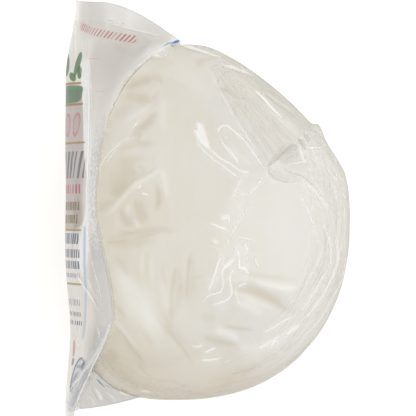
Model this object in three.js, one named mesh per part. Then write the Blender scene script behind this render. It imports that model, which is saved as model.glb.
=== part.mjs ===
// A mozzarella ball sealed in film, lying on the flat that its own weight presses into its side.
// Millimetres, +Z up. The printed front faces -X, the top of the pack points to +Y, and the
// ball rests on the spot around the origin.
import * as THREE from 'three';
import { mergeVertices } from 'three/addons/utils/BufferGeometryUtils.js';

// ---- sizes of the ball ----
const BALL = {
  centreX: -1.4, // where the ball is widest
  centreZ: 44.2, // height of its axis over the floor
  radiusY: 50.9,
  radiusZ: 46.2, // pressed a little flatter the way it lies
  back: 47.4, // from the widest place to the far end, away from the print
  front: 34.6, // from the widest place to the printed front
  backPower: 2.17, // 2 is an ellipsoid, more is squarer
  frontPower: 3.0,
  fullness: 3.0, // 2 is a round front, more fills its corners where the film presses on it
  fullFrom: 0.25, // how far round the ball the front's fullness starts and is complete
  fullTo: -0.25,
  facets: 19, // how often each edge of the icosahedron is split
};

// Places where the wrap pulls the ball flatter: what lies beyond `start` along `normal`
// keeps only a share of its height. The bend into the flat is spread over FLAT_BEND.
const FLATS = [
  { normal: [0.676, 0.737, 0.05], start: 40.9, keep: 0.446 }, // high side of the bulge
  { normal: [0.47, -0.06, 0.88], start: 43.1, keep: 0.35 }, // disc on the shown side
  { normal: [0.5, 0.1, -0.86], start: 43.9, keep: 0.4 }, // disc on the side it lies on
];
const FLAT_BEND = 0.9;

// ---- sizes of the label film ----
const LID = {
  thickness: 0.8,
  gap: 0.3, // between the film and the ball
  facetReach: 1.6, // the ball's facets may cut a corner of the film by this
  middleX: -35.7, // the face along its middle line
  topLean: 2.9, // how far the top end leans back towards the ball
  topLeanFrom: 40,
  rise: 7.5, // from the middle line back to the crease
  topRise: 3.5,
  topRiseFrom: 38,
  footRise: 2.8,
  footRiseFrom: -36,
  footRiseTo: -52,
  waist: 1.3, // the face dips in by this at waistY
  waistY: -30.5,
  waistLength: 12,
  crease: 0.8, // where the crease runs, as a share of half the width
  wingCrease: 0.4, // the same at the top, where the corners fold back
  wingFrom: 8,
  wingTo: 58,
  wingBend: 0.35, // how hollow the margin runs back to its edge at the top; 0 is straight
  edgeZ: 40.2, // half the width of the film
  edgeDrop: 14, // the top corners lie closer in by this, down on the ball
  dropFrom: 22,
  topY: 63.8,
  topSlope: 2.5, // fall of the top edge from the middle to the side
  cornerFrom: 0.55, // share of the half width where the top edge starts to bend down
  cornerPower: 1.9,
  bottomY: -55.6,
  footPower: 1.6, // how the bottom edge bends up past the crease
  rowsAcross: 30,
  rowsUp: 38,
};

// How far back each side edge of the film stands, from top to bottom.
const NEAR_EDGE = {
  base: -26.8,
  flare: 20.5, // the top corner folds back by this
  flareTop: 50.8,
  flareLength: 13.2,
  tip: 3.8, // and its very tip by this more
  tipLength: 1.5,
  swell: 5.5, // the edge stands back again below the middle
  swellFrom: 8,
  swellTo: -26,
  tuck: 10.5, // and comes forward at the bottom corner
  tuckFrom: -25.6,
  tuckTo: -51.9,
  footLift: 3.7, // bottom corner over the middle of the bottom edge
};
const FAR_EDGE = {
  base: -26.6,
  flare: 14,
  flareTop: 50.8,
  flareLength: 10.5,
  tip: 0,
  tipLength: 1.5,
  swell: 1.8,
  swellFrom: 10,
  swellTo: -20,
  tuck: -11.7, // this corner folds back at the bottom
  tuckFrom: -28,
  tuckTo: -51.9,
  footLift: 3.7,
};

// Folds are laid out in a plan drawn from a point high over the ball's axis.
const PLAN = { x: 5.2, y: 4, height: 1000 };

// ---- soft folds of the ball in the plan: both ends, half width, height ----
const FOLDS = [
  { from: [-20.7, 38], to: [-9.8, 41.4], width: 1.9, height: -0.7 },
  { from: [-18.7, 32.8], to: [-9.2, 36.5], width: 1.6, height: -0.6 },
  { from: [-22.4, 27], to: [-9.2, 31.6], width: 1.8, height: -0.55 },
  { from: [-16.1, 23.6], to: [-10, 22.7], width: 1.8, height: -0.7 },
  { from: [-25, 16.4], to: [-11.5, 20.7], width: 1.7, height: -0.5 },
  { from: [-23.6, 10.6], to: [-14.4, 14.4], width: 3, height: -1 },
  { from: [-25.9, -0.9], to: [-8.6, 14.4], width: 1.7, height: 0.7 },
  { from: [-19.6, 4.9], to: [-16.7, -1.7], width: 1.4, height: -0.6 },
  { from: [-15.5, 6.3], to: [-13.2, -1.1], width: 1.4, height: -0.6 },
  { from: [-10.4, 9.2], to: [-9.5, 2.9], width: 1.4, height: -0.5 },
  { from: [-25.9, -6], to: [-3.5, -4], width: 1.5, height: -0.8 },
  { from: [0.3, -8.6], to: [-0.6, -22.4], width: 1.5, height: -0.55 },
  { from: [-4.3, -11.5], to: [-5.2, -29.6], width: 1.8, height: -0.65 },
  { from: [-11.5, -23.9], to: [0, -37.4], width: 1.6, height: -0.6 },
  { from: [-22.4, -28.7], to: [-12.4, -43.1], width: 1.8, height: -0.6 },
  { from: [17.3, -17.5], to: [30.8, -19.3], width: 1.6, height: 0.8 },
  { from: [13.2, -19], to: [30.5, -25.9], width: 1.7, height: -0.8 },
  { from: [2.9, -33.4], to: [20, -36.5], width: 1.8, height: 0.7 },
];
const FOLD_FADE = 3.5; // length over which a fold dies out past its ends

// Long creases of the wrap that fan out along the high side of the bulge.
const FAN = {
  count: 6,
  apex: [-4, 52],
  bearing: -32,
  spread: 5.2,
  from: 12,
  to: 42,
  width: 1.1,
  height: 0.4,
};
// Creases that run round the far end of the bulge, a share of its radius apart.
const RIM = { count: 4, start: 0.86, pitch: 0.045, width: 0.016, height: 0.5 };
const FAR_END = [0.35, 0.75]; // where they set in, as the part of a direction that points back
// One big pleat of gathered film, from the disc over the far end.
const PLEAT = {
  from: [21, 15],
  to: [37.5, 28.6],
  steep: 0.9, // width of its high side
  gentle: 4, // and of the other
  height: 1.5,
  shown: [-0.35, 0], // it dies out down the hidden side, as the part of a direction that points up
  middle: [30.5, 22, 27],
  gather: 0.42, // facets are drawn to its middle by this share
  reach: 0.5,
};

const ramp = (from, to, value) => THREE.MathUtils.smoothstep((value - from) / (to - from), 0, 1);
const bell = (distance, width) => Math.exp(-((distance / width) ** 2));

// ---- the label film: x as a function of height y and depth z (z from the ball's axis) ----
function edgeX(edge, y) {
  const below = Math.max(0, edge.flareTop - y);
  const flare = edge.flare * Math.exp(-below / edge.flareLength);
  const tip = edge.tip * Math.exp(-below / edge.tipLength);
  const swell = edge.swell * ramp(edge.swellFrom, edge.swellTo, y);
  const tuck = edge.tuck * ramp(edge.tuckFrom, edge.tuckTo, y);
  return edge.base + flare + tip + swell - tuck;
}

// Half the width of the film at one height.
const halfWidth = (y) => LID.edgeZ - LID.edgeDrop * ramp(LID.dropFrom, NEAR_EDGE.flareTop, y);

function lidX(y, z) {
  const edge = z >= 0 ? NEAR_EDGE : FAR_EDGE;
  const side = halfWidth(y);
  const waist = LID.waist * bell(y - LID.waistY, LID.waistLength);
  const middle = LID.middleX + waist + LID.topLean * ramp(LID.topLeanFrom, LID.topY, y);
  const wing = ramp(LID.wingFrom, LID.wingTo, y);
  const creaseZ = side * THREE.MathUtils.lerp(LID.crease, LID.wingCrease, wing);
  const upperRise = THREE.MathUtils.lerp(LID.rise, LID.topRise, ramp(LID.topRiseFrom, LID.topY, y));
  const rise = THREE.MathUtils.lerp(upperRise, LID.footRise, ramp(LID.footRiseFrom, LID.footRiseTo, y));
  const depth = Math.min(Math.abs(z), side);
  if (depth <= creaseZ) return middle + rise * (depth / creaseZ) ** 2;
  const out = (depth - creaseZ) / (side - creaseZ);
  return middle + rise + (edgeX(edge, y) - middle - rise) * out ** (1 + LID.wingBend * wing);
}

// How far back the ball keeps at one place, so that its facets clear the film and its edges.
function behindLid(y, z) {
  const { facetReach, thickness, gap } = LID;
  const out = Math.abs(z) + facetReach;
  const depth = Math.sign(z) * Math.min(out, halfWidth(y) - facetReach);
  const slopeY = (lidX(y + facetReach, depth) - lidX(y - facetReach, depth)) / (2 * facetReach);
  const slopeZ = (lidX(y, depth + facetReach) - lidX(y, depth - facetReach)) / (2 * facetReach);
  const clear = (thickness + gap) * Math.hypot(1, slopeY, slopeZ);
  const reached = [-facetReach, 0, facetReach].map((step) => lidX(y + step, Math.sign(z) * out));
  return Math.max(...reached) + clear;
}

// A point of the film: `across` runs from -1 at the hidden side edge to 1 at the shown one,
// `up` from 0 at the bottom edge to 1 at the top.
function lidPoint(across, up) {
  const edge = across >= 0 ? NEAR_EDGE : FAR_EDGE;
  const pastCrease = Math.max(0, Math.abs(across) - LID.crease) / (1 - LID.crease);
  const bottom = LID.bottomY + edge.footLift * pastCrease ** LID.footPower;
  const side = LID.topY - LID.topSlope * Math.abs(across);
  const corner = Math.max(0, Math.abs(across) - LID.cornerFrom) / (1 - LID.cornerFrom);
  const drop = corner ** LID.cornerPower;
  const top = side - (LID.topY - LID.topSlope - edge.flareTop) * drop;
  const y = THREE.MathUtils.lerp(bottom, top, up);
  const z = across * halfWidth(y);
  return new THREE.Vector3(lidX(y, z), y, z + BALL.centreZ);
}

function labelFilm() {
  const { rowsAcross, rowsUp, thickness } = LID;
  const step = 1e-3;
  const outer = [];
  const inner = [];
  for (let j = 0; j <= rowsUp; j++) {
    for (let i = 0; i <= rowsAcross; i++) {
      const across = (2 * i) / rowsAcross - 1;
      const up = j / rowsUp;
      const point = lidPoint(across, up);
      const alongZ = lidPoint(across + step, up).sub(lidPoint(across - step, up));
      const alongY = lidPoint(across, up + step).sub(lidPoint(across, up - step));
      const inward = alongY.cross(alongZ).normalize();
      outer.push(...point.toArray());
      inner.push(...point.addScaledVector(inward, thickness).toArray());
    }
  }
  const rowLength = rowsAcross + 1;
  const sheetSize = rowLength * (rowsUp + 1);
  const at = (i, j, sheet) => sheet * sheetSize + j * rowLength + i;
  const faces = [];
  const quad = (a, b, c, d) => faces.push(a, b, c, a, c, d);
  for (let j = 0; j < rowsUp; j++) {
    for (let i = 0; i < rowsAcross; i++) {
      quad(at(i, j, 0), at(i + 1, j, 0), at(i + 1, j + 1, 0), at(i, j + 1, 0));
      quad(at(i, j, 1), at(i, j + 1, 1), at(i + 1, j + 1, 1), at(i + 1, j, 1));
    }
  }
  for (let i = 0; i < rowsAcross; i++) {
    quad(at(i, 0, 1), at(i + 1, 0, 1), at(i + 1, 0, 0), at(i, 0, 0));
    quad(at(i, rowsUp, 0), at(i + 1, rowsUp, 0), at(i + 1, rowsUp, 1), at(i, rowsUp, 1));
  }
  for (let j = 0; j < rowsUp; j++) {
    quad(at(0, j, 0), at(0, j + 1, 0), at(0, j + 1, 1), at(0, j, 1));
    quad(at(rowsAcross, j, 1), at(rowsAcross, j + 1, 1), at(rowsAcross, j + 1, 0), at(rowsAcross, j, 0));
  }
  const geometry = new THREE.BufferGeometry();
  geometry.setAttribute('position', new THREE.Float32BufferAttribute([...outer, ...inner], 3));
  geometry.setIndex(faces);
  return geometry;
}

// ---- the ball ----
// Distance from the middle of the ball to its plain form in one direction.
function plainReach(direction) {
  const forward = direction.x < 0;
  const length = forward ? BALL.front : BALL.back;
  const power = forward ? BALL.frontPower : BALL.backPower;
  const full = THREE.MathUtils.lerp(2, BALL.fullness, ramp(BALL.fullFrom, BALL.fullTo, direction.x));
  const tall = Math.abs(direction.y / BALL.radiusY) ** full;
  const deep = Math.abs(direction.z / BALL.radiusZ) ** full;
  const round = (tall + deep) ** (1 / full);
  return (Math.abs(direction.x / length) ** power + round ** power) ** (-1 / power);
}

// Where a point lies in the plan.
function planOf(point) {
  const scale = PLAN.height / (PLAN.height - Math.abs(point.z));
  return { x: PLAN.x + (point.x - PLAN.x) * scale, y: PLAN.y + (point.y - PLAN.y) * scale };
}

// How strongly a line between two places is felt at a point. A pair of widths holds for its two sides.
function lineShare(point, line, width) {
  const dx = line.to[0] - line.from[0];
  const dy = line.to[1] - line.from[1];
  const length = Math.hypot(dx, dy);
  const along = ((point.x - line.from[0]) * dx + (point.y - line.from[1]) * dy) / length;
  const off = ((point.x - line.from[0]) * dy - (point.y - line.from[1]) * dx) / length;
  const past = Math.max(0, -along, along - length);
  const felt = Array.isArray(width) ? width[off > 0 ? 1 : 0] : width;
  return bell(off, felt) * bell(past, FOLD_FADE);
}

// Height of all folds and creases at a point. The hidden side carries the same kind of folds,
// turned upside down.
function foldHeight(point, direction) {
  const plan = planOf(point);
  const flip = { x: plan.x, y: direction.z >= 0 ? plan.y : -plan.y };
  const facing = ramp(0.02, 0.3, Math.abs(direction.z));
  let height = 0;
  for (const fold of FOLDS) height += facing * fold.height * lineShare(flip, fold, fold.width);
  for (let k = 0; k < FAN.count; k++) {
    const bearing = THREE.MathUtils.degToRad(FAN.bearing - k * FAN.spread);
    const ray = (distance) => [
      FAN.apex[0] + distance * Math.cos(bearing),
      FAN.apex[1] + distance * Math.sin(bearing),
    ];
    const line = { from: ray(FAN.from + k * 2), to: ray(FAN.to) };
    height += facing * FAN.height * lineShare(flip, line, FAN.width);
  }
  const outward = Math.hypot((point.x - BALL.centreX) / BALL.back, point.y / BALL.radiusY);
  const farEnd = ramp(...FAR_END, direction.x);
  for (let k = 0; k < RIM.count; k++) {
    height += farEnd * RIM.height * bell(outward - RIM.start - k * RIM.pitch, RIM.width);
  }
  return height;
}

function pleatHeight(point, direction) {
  const shown = ramp(...PLEAT.shown, direction.z);
  return shown * PLEAT.height * lineShare(planOf(point), PLEAT, [PLEAT.steep, PLEAT.gentle]);
}

function wrappedBall() {
  const geometry = new THREE.IcosahedronGeometry(1, BALL.facets);
  geometry.deleteAttribute('normal');
  geometry.deleteAttribute('uv');
  const merged = mergeVertices(geometry, 1e-5);
  const position = merged.getAttribute('position');
  const centre = new THREE.Vector3(BALL.centreX, 0, 0);
  const flats = FLATS.map((flat) => ({ ...flat, normal: new THREE.Vector3(...flat.normal).normalize() }));
  const pleatMiddle = new THREE.Vector3(...PLEAT.middle).normalize();
  const direction = new THREE.Vector3();
  const point = new THREE.Vector3();
  for (let i = 0; i < position.count; i++) {
    direction.fromBufferAttribute(position, i).normalize();
    // Facets are drawn closer together round the pleat.
    const near = bell(direction.distanceTo(pleatMiddle), PLEAT.reach);
    direction.lerp(pleatMiddle, PLEAT.gather * near).normalize();
    point.copy(direction).multiplyScalar(plainReach(direction)).add(centre);
    for (const flat of flats) {
      const beyond = point.dot(flat.normal) - flat.start;
      const cut = FLAT_BEND * Math.log1p(Math.exp(beyond / FLAT_BEND));
      point.addScaledVector(flat.normal, -cut * (1 - flat.keep));
    }
    const lift = foldHeight(point, direction) + pleatHeight(point, direction);
    point.addScaledVector(direction, lift);
    point.x = Math.max(point.x, behindLid(point.y, point.z));
    point.z = Math.max(point.z + BALL.centreZ, 0);
    position.setXYZ(i, point.x, point.y, point.z);
  }
  return merged;
}

const film = new THREE.MeshStandardMaterial({ color: 0xe3dfd5, roughness: 0.22, metalness: 0 });
const print = new THREE.MeshStandardMaterial({ color: 0xd2cfc8, roughness: 0.35, metalness: 0 });

const ball = new THREE.Mesh(wrappedBall(), film);
ball.name = 'wrapped_ball';
const label = new THREE.Mesh(labelFilm(), print);
label.name = 'label_film';

const group = new THREE.Group();
group.name = 'mozzarella_ball';
group.add(ball, label);

export default group;
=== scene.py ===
"""A ball of mozzarella drawn tight in clear film, with a printed film sealed to its front.

The pack lies on its side. +Z is up, +Y is the top end of the pack, -X is the printed front.
Shapes are worked out in millimetres from the floor spot under the ball and scaled at the end.
"""
import math
import random

import bmesh
import bpy
import numpy as np
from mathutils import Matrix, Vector, noise
from mathutils.bvhtree import BVHTree


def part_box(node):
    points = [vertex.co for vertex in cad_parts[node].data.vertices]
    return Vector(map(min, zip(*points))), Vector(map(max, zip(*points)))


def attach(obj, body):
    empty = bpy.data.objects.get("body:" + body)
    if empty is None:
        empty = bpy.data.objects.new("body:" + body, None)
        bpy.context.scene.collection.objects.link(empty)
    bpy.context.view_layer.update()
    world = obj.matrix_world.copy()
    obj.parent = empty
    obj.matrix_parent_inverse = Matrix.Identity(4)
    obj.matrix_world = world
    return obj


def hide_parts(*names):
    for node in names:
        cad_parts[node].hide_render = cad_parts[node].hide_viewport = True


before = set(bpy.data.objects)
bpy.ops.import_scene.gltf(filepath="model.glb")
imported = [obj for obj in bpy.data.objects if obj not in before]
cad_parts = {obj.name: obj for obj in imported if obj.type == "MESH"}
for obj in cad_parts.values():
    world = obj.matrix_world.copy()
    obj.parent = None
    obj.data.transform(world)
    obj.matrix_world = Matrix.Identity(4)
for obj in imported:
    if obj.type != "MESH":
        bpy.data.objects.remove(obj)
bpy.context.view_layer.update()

# ---- scale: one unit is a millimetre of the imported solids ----
LABEL_LOW, LABEL_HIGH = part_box("label_film")
LABEL_HEIGHT = 119.4
UNIT = (LABEL_HIGH.y - LABEL_LOW.y) / LABEL_HEIGHT

# ---- the ball's plain form ----
WIDEST_X = -1.4
AXIS_Z = 44.2
RADIUS_Y = 50.9
RADIUS_Z = 46.2
BACK_LENGTH = 47.4
FRONT_LENGTH = 34.6
BACK_POWER = 2.17
FRONT_POWER = 3.0
FULLNESS = 3.0
FULL_X = (0.25, -0.25)
# Flats where the film pulls tight: direction, distance from the axis, share of height kept.
FLATS = (
    ((0.676, 0.737, 0.05), 40.9, 0.446),
    ((0.47, -0.06, 0.88), 43.1, 0.35),
    ((0.5, 0.1, -0.86), 43.9, 0.4),
)
# How soft their borders are, and how many times that the softening is followed.
FLAT_BEND = 0.9
MOST_BENDS = 60.0
# Cuts along each edge of the cube that is blown up to the ball.
FILM_CUTS = 108
CHEESE_CUTS = 120
# Where the facets are gathered, how far they are drawn there, and over what reach.
SHOWN_SIDE = (0.15, 0.05, 1.0)
GATHER = (0.3, 1.0)

# ---- the printed film ----
FACE_X = -35.7
TOP_LEAN = 2.9
TOP_LEAN_FROM = 40.0
WAIST = (1.3, -30.5, 12.0)
CREASE_RISE = 7.5
TOP_CREASE_RISE = 3.5
TOP_RISE_FROM = 38.0
FOOT_CREASE_RISE = 2.8
FOOT_RISE_Y = (-36.0, -52.0)
CREASE_SHARE = 0.8
WING_CREASE_SHARE = 0.4
WING_Y = (8.0, 58.0)
WING_BEND = 0.35
EDGE_Z = 40.2
EDGE_DROP = 14.0
EDGE_DROP_Y = (22.0, 50.8)
TOP_Y = 63.8
TOP_SLOPE = 2.5
CORNER_FROM = 0.55
CORNER_POWER = 1.9
FOOT_POWER = 1.6
BOTTOM_Y = -55.6
FILM_GAP = 0.45
FILM_REACH = 0.5
PRINTED_THICKNESS = 0.16
# Cells across and up the sheet.
FILM_GRID = (128, 180)

# Its small waves: noise with its stretch and seed, heights, and the ramps that bound them.
UPRIGHT_WAVES = ((3.0, 34.0, 1.0), 1.7)
UPRIGHT_HEIGHT = (0.05, 0.08)
MARGIN_FROM = (0.55, 0.85)
BROAD_WAVES = ((12.0, 20.0, 1.0), 5.1)
BROAD_HEIGHT = 0.35
CORNER_PLEATS = 0.3
CORNER_PLEAT_PITCH = 3.2
CORNER_PLEAT_TWIST = 26.0
PLEATS_DOWN = (-24.0, -38.0)
PLEATS_IN = (17.0, 10.0)
HELD_SIDE = (1.0, 0.97)
HELD_FOOT = (0.0, 2.0)

# ---- the plan that folds and creases are laid out in, drawn from high over the axis ----
PLAN_X = 5.2
PLAN_Y = 4.0
PLAN_HEIGHT = 1000.0
FRAME_PIXELS = 416
PIXEL = 0.2875
PLAN_LEFT = 190
PLAN_TOP = 222
# Millimetres to one unit of the maps that materials read.
MAP_SCALE = 100.0

# Soft folds of the cheese: points (pixels of the plan), half width and height (mm).
FOLDS = (
    (((122, 88), (138, 82), (154, 79), (164, 79)), 1.5, -0.75),
    (((132, 100), (141, 99), (151, 101), (159, 91)), 1.2, -0.6),
    (((148, 92), (155, 88), (160, 84)), 1.8, 0.5),
    (((159, 103), (132, 120), (116, 141), (99, 172)), 1.7, 0.6),
    (((159, 111), (146, 124), (135, 132), (133, 140)), 1.5, -0.8),
    (((102, 154), (132, 149), (165, 144)), 1.2, 0.45),
    (((163, 148), (156, 166), (144, 177), (130, 187), (117, 201), (98, 221)), 1.4, 0.8),
    (((105, 192), (118, 184), (128, 172), (140, 160)), 3.2, -1.0),
    (((133, 166), (138, 167), (141, 172)), 1.0, 0.35),
    (((137, 199), (139, 213), (146, 225)), 1.3, -0.7),
    (((121, 208), (126, 222), (134, 226)), 1.3, -0.6),
    (((154, 184), (159, 198), (155, 211)), 1.2, -0.55),
    (((161, 167), (168, 182), (165, 208)), 1.3, 0.45),
    (((103, 239), (132, 234), (161, 230), (176, 232)), 1.0, -0.65),
    (((109, 246), (135, 243), (158, 238)), 1.6, -0.6),
    (((191, 250), (193, 275), (188, 304)), 1.5, -0.5),
    (((175, 258), (178, 290), (171, 325)), 1.8, -0.55),
    (((203, 262), (203, 290)), 1.4, 0.35),
    (((150, 300), (166, 322), (176, 338), (192, 352)), 1.6, -0.55),
    (((112, 322), (126, 342), (138, 360), (147, 374)), 1.7, -0.6),
    (((118, 310), (136, 318), (150, 334)), 2.0, 0.4),
    (((236, 281), (252, 278), (268, 284), (297, 289)), 1.5, 0.75),
    (((234, 287), (252, 290), (270, 298), (296, 311)), 1.7, -0.85),
    (((241, 298), (254, 308), (268, 310)), 1.9, 0.5),
    (((212, 332), (228, 334), (242, 343), (262, 348)), 1.8, 0.7),
    (((228, 372), (243, 372), (258, 366)), 1.2, -0.45),
    (((196, 66), (199, 60), (206, 58)), 1.1, -0.5),
    (((216, 86), (221, 91), (227, 90), (233, 96), (246, 102)), 1.0, -0.5),
)
FOLD_FADE = 3.0
FOLD_ENDS = 0.3
FOLD_END_SHARE = 0.25
FOLD_SEEN = (0.02, 0.3)
FOLD_NOISE = (9.0, 9.0, 9.0)
FOLD_WANDER = 0.9
WANDER_UP = 0.6
CHEESE_FOLDS = 0.7
FILM_FOLDS = 0.3
LUMP_HEIGHT = 0.2
LUMP_SEED = 7.3
CHEESE_INSET = 0.3
CHEESE_RISE = 0.2
# Steps between two points of a curved line: of a soft fold, and of a strip.
SOFT_STEPS = 4
STRIP_STEPS = 5
# How wide a soft stroke is felt, in half widths, and over what share of its length it begins and ends.
FELT_WIDTHS = 3.0
STROKE_ENDS = 0.25

# ---- creases of the clear film ----
# The fan: bearings (degrees) and distances (mm) from its apex, and the ramps that bound it.
FAN_APEX = (195, 40)
FAN_BEARINGS = (-36.0, -63.0)
FAN_REACH = (6.0, 42.0)
FAN_TURN_IN = (-73.0, -57.0)
FAN_TURN_OUT = (8.0, -10.0)
FAN_FAR_IN = (2.0, 11.0)
FAN_FAR_OUT = (48.0, 40.0)
FAN_HEIGHT = 0.16
FAN_STRETCH = (1.9, 16.0, 4.0)
FAN_SIDE_STEP = 9.0
# The far end: the ramps that bound its creases, by bearing and by share of the radius.
RIM_TURN_IN = (39.0, 29.0)
RIM_TURN_OUT = (-92.0, -50.0)
RIM_FAR_IN = (0.68, 0.86)
RIM_HEIGHT = 0.2
RIM_STRETCH = (2.2, 17.0, 26.0)
RIM_SEED = 3.1
RIM_TWIST = 0.0012
# The big pleat: its two ends, half widths of its two sides, height, and where it is shown.
PLEAT = ((21.0, 15.0), (37.5, 28.6))
PLEAT_STEEP = 0.9
PLEAT_GENTLE = 4.0
PLEAT_HEIGHT = 1.5
PLEAT_SEEN = (-0.35, 0.0)
# Strips: height of the middle, its steepest rise, and the share of the length that fades at each end.
STRIP_CROWN = 0.06
STRIP_SLOPE = 0.25
STRIP_ENDS = 0.2

# Painted highlights on the creases and ridges of the clear film: points (pixels of the plan) with half
# widths, and how dense the line is.
FILM_HIGHLIGHTS = (
    (((176, 44.5, 0.8), (188, 47.5, 1.7), (200, 51, 1.7), (211, 55, 1.2), (222, 59.5, 0.6)), 0.6),
    (((263, 171, 0.7), (277, 157, 0.8), (291, 143, 0.7), (301, 138, 0.6), (308, 131, 0.6),
      (313, 126, 0.5)), 0.32),
    (((300, 179, 0.7), (308, 185, 1.2), (316, 193, 1.3), (324, 203, 1), (331, 213, 0.6)), 0.45),
    (((296, 190, 0.5), (303, 202, 0.7), (309, 216, 0.7), (314, 232, 0.5)), 0.35),
    (((303, 147, 0.5), (309, 147.5, 0.7), (318, 148, 0.7), (324, 146, 0.6), (328, 143.5, 0.4)), 0.6),
    (((288, 164.5, 0.5), (294, 163.5, 1), (301, 162.5, 1.1), (307, 163, 0.5)), 0.45),
    (((299, 148, 0.8), (301, 154, 2), (303, 160, 1.6), (308, 163.5, 0.8)), 0.5),
    (((194, 127, 3), (198, 127, 6.5), (200, 133, 6.5), (203, 140, 5.5), (207, 146, 3),
      (211, 152, 1)), 0.8),
    (((207, 143, 0.8), (213, 152, 0.9), (221, 159, 0.9), (231, 164.5, 0.8), (240, 171, 1),
      (247, 172.5, 1.4),
      (250, 175, 0.6)), 0.8),
    (((194, 137, 0.8), (201, 148, 0.9), (210, 157, 0.8), (224, 167, 0.8), (234, 175, 1.1),
      (240, 178, 0.6)), 0.7),
    (((219, 137, 0.8), (217.5, 132, 0.9), (221, 127, 1.2), (227, 126, 1.3), (236, 133.5, 0.9),
      (245, 142, 0.8),
      (251, 150, 0.8), (257, 159, 0.8), (262, 166, 0.7), (264, 171, 0.5)), 0.75),
    (((219, 137, 0.8), (224.5, 146, 0.9), (230, 152, 1.8), (235, 158, 1.5), (240, 166, 0.6)), 0.6),
    (((224.5, 129, 0.5), (225, 135, 0.6), (227.5, 141, 0.5)), 0.5),
    (((242, 178, 0.8), (238.5, 184, 0.9), (235, 191, 0.8), (233, 201, 0.6)), 0.5),
    (((237, 191, 0.8), (245, 195, 0.9), (251, 192, 0.8), (259, 183, 0.8), (264.5, 174, 0.7)), 0.6),
    (((252, 90, 0.5), (258, 94, 1.1), (266, 102, 1.8), (271, 108, 1.5), (277, 114, 1),
      (287, 124, 0.6)), 0.85),
    (((222, 65, 0.8), (231, 68, 1.6), (239, 70.5, 1.3), (254, 77, 0.6)), 0.6),
    (((238, 66.5, 0.5), (245, 71.5, 0.6), (251, 76, 0.4)), 0.7),
    (((211, 70, 0.9), (215.5, 84, 0.9), (224, 99, 0.9), (236, 121, 0.9), (247, 137, 0.8),
      (259, 157, 0.7)), 0.3),
    (((219, 218, 1), (223.5, 218, 3.2), (228, 217, 2.6), (229, 225, 0.8)), 0.6),
    (((208, 222, 0.6), (217, 226, 1.2), (223, 228.5, 1.4), (228, 230, 1)), 0.75),
    (((211, 242, 1.5), (215, 241, 3), (219, 244, 1.5)), 0.45),
    (((239, 236, 0.8), (246, 238.5, 1.6), (253, 240, 0.6)), 0.45),
    (((244, 241, 1), (246, 247, 2.3), (246, 253, 1.2)), 0.5),
    (((252, 243, 0.4), (249, 249, 0.5), (246, 255, 0.7), (249, 264, 1.2)), 0.5),
    (((255, 256, 0.5), (256, 262, 0.9), (258, 268, 0.6)), 0.6),
    (((233, 245, 1.2), (238, 253, 0.9), (239, 261, 0.9), (239.5, 267, 1.8), (244.5, 269, 1.6),
      (249, 276, 0.7)), 0.85),
    (((234, 250, 0.6), (234, 258, 1), (229, 263, 2.2), (223, 269, 1.2), (222, 276, 0.8), (223, 284, 0.8),
      (220, 292, 1), (209, 295, 0.9), (205, 299, 0.8), (201, 304, 1.8)), 0.8),
    (((222, 252, 0.6), (217.5, 264, 1.2), (214, 276, 1), (211, 284, 1.6), (206, 293, 0.7)), 0.75),
    (((239, 269, 0.8), (232, 271, 0.9), (229.5, 279, 0.9), (231.5, 290, 1), (229, 298, 1.1),
      (218, 303, 1.2),
      (208, 306, 1)), 0.8),
    (((237, 288, 0.8), (242, 284, 1.5), (248, 283.5, 0.7)), 0.55),
    (((234.5, 289, 0.6), (237, 298, 1), (240, 306, 0.5)), 0.4),
    (((251, 202, 0.7), (242, 215, 0.7), (232, 233, 0.7), (222, 251, 0.6)), 0.35),
    (((305, 203, 0.7), (311, 217, 0.8), (316, 233, 0.8), (319, 246, 0.6)), 0.3),
    (((325, 245, 0.6), (317.5, 261, 0.8), (306, 284, 0.8), (298, 303, 0.6)), 0.35),
    (((295, 316, 0.8), (283, 320.5, 1.3), (271, 328, 1.4), (259, 333, 0.6)), 0.7),
    (((257, 349, 1), (263, 345, 2.6), (272, 340, 2.4), (279, 335, 0.8)), 0.45),
    (((284, 336, 1), (289, 331, 2.4), (294, 327, 2.2), (299, 323, 0.8)), 0.6),
    (((192, 345.5, 0.8), (198, 346, 1.6), (204, 344, 0.6)), 0.6),
    (((204, 352, 0.8), (209, 350, 1.8), (216, 346.5, 1)), 0.7),
    (((199, 360, 0.8), (209, 359.5, 1.4), (221, 357, 0.8)), 0.65),
    (((225, 363, 0.5), (228, 360.5, 0.7), (232, 358, 0.4)), 0.5),
    (((139, 391, 0.5), (145, 390, 1.2), (151, 392.5, 0.5)), 0.6),
    (((334, 228, 0.7), (337, 246, 1.5), (337, 262, 1.7), (330, 280, 1.6), (322, 296, 1.5),
      (310, 312, 1.4),
      (302, 322, 0.6)), 0.42),
    (((342, 240, 0.6), (344, 258, 1.2), (342, 276, 1.4), (334, 294, 1.4), (324, 312, 1.3),
      (312, 328, 1.1),
      (298, 344, 0.5)), 0.22),
    (((328, 266, 0.8), (318, 284, 2), (308, 300, 2), (298, 314, 0.8)), 0.36),
    (((321, 222, 0.6), (328, 238, 1.2), (331, 256, 1.3), (326, 272, 0.7)), 0.36),
    (((137, 189, 1), (139.5, 187, 1.3), (142.5, 184, 0.5)), 0.85),
    (((141, 192.5, 0.6), (145, 194, 1.2), (149, 195.5, 0.7)), 0.8),
    (((138, 122, 0.9), (135, 125.5, 0.8), (132, 129, 0.5)), 0.6),
    (((137, 134.5, 0.6), (127, 139, 0.6), (120.5, 143, 0.7), (113, 150, 0.9), (106.5, 157, 0.8),
      (100, 168, 0.7),
      (96.5, 178, 0.5)), 0.55),
    (((120, 146, 0.5), (112, 155, 0.6), (105, 166, 0.4)), 0.5),
)
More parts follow.
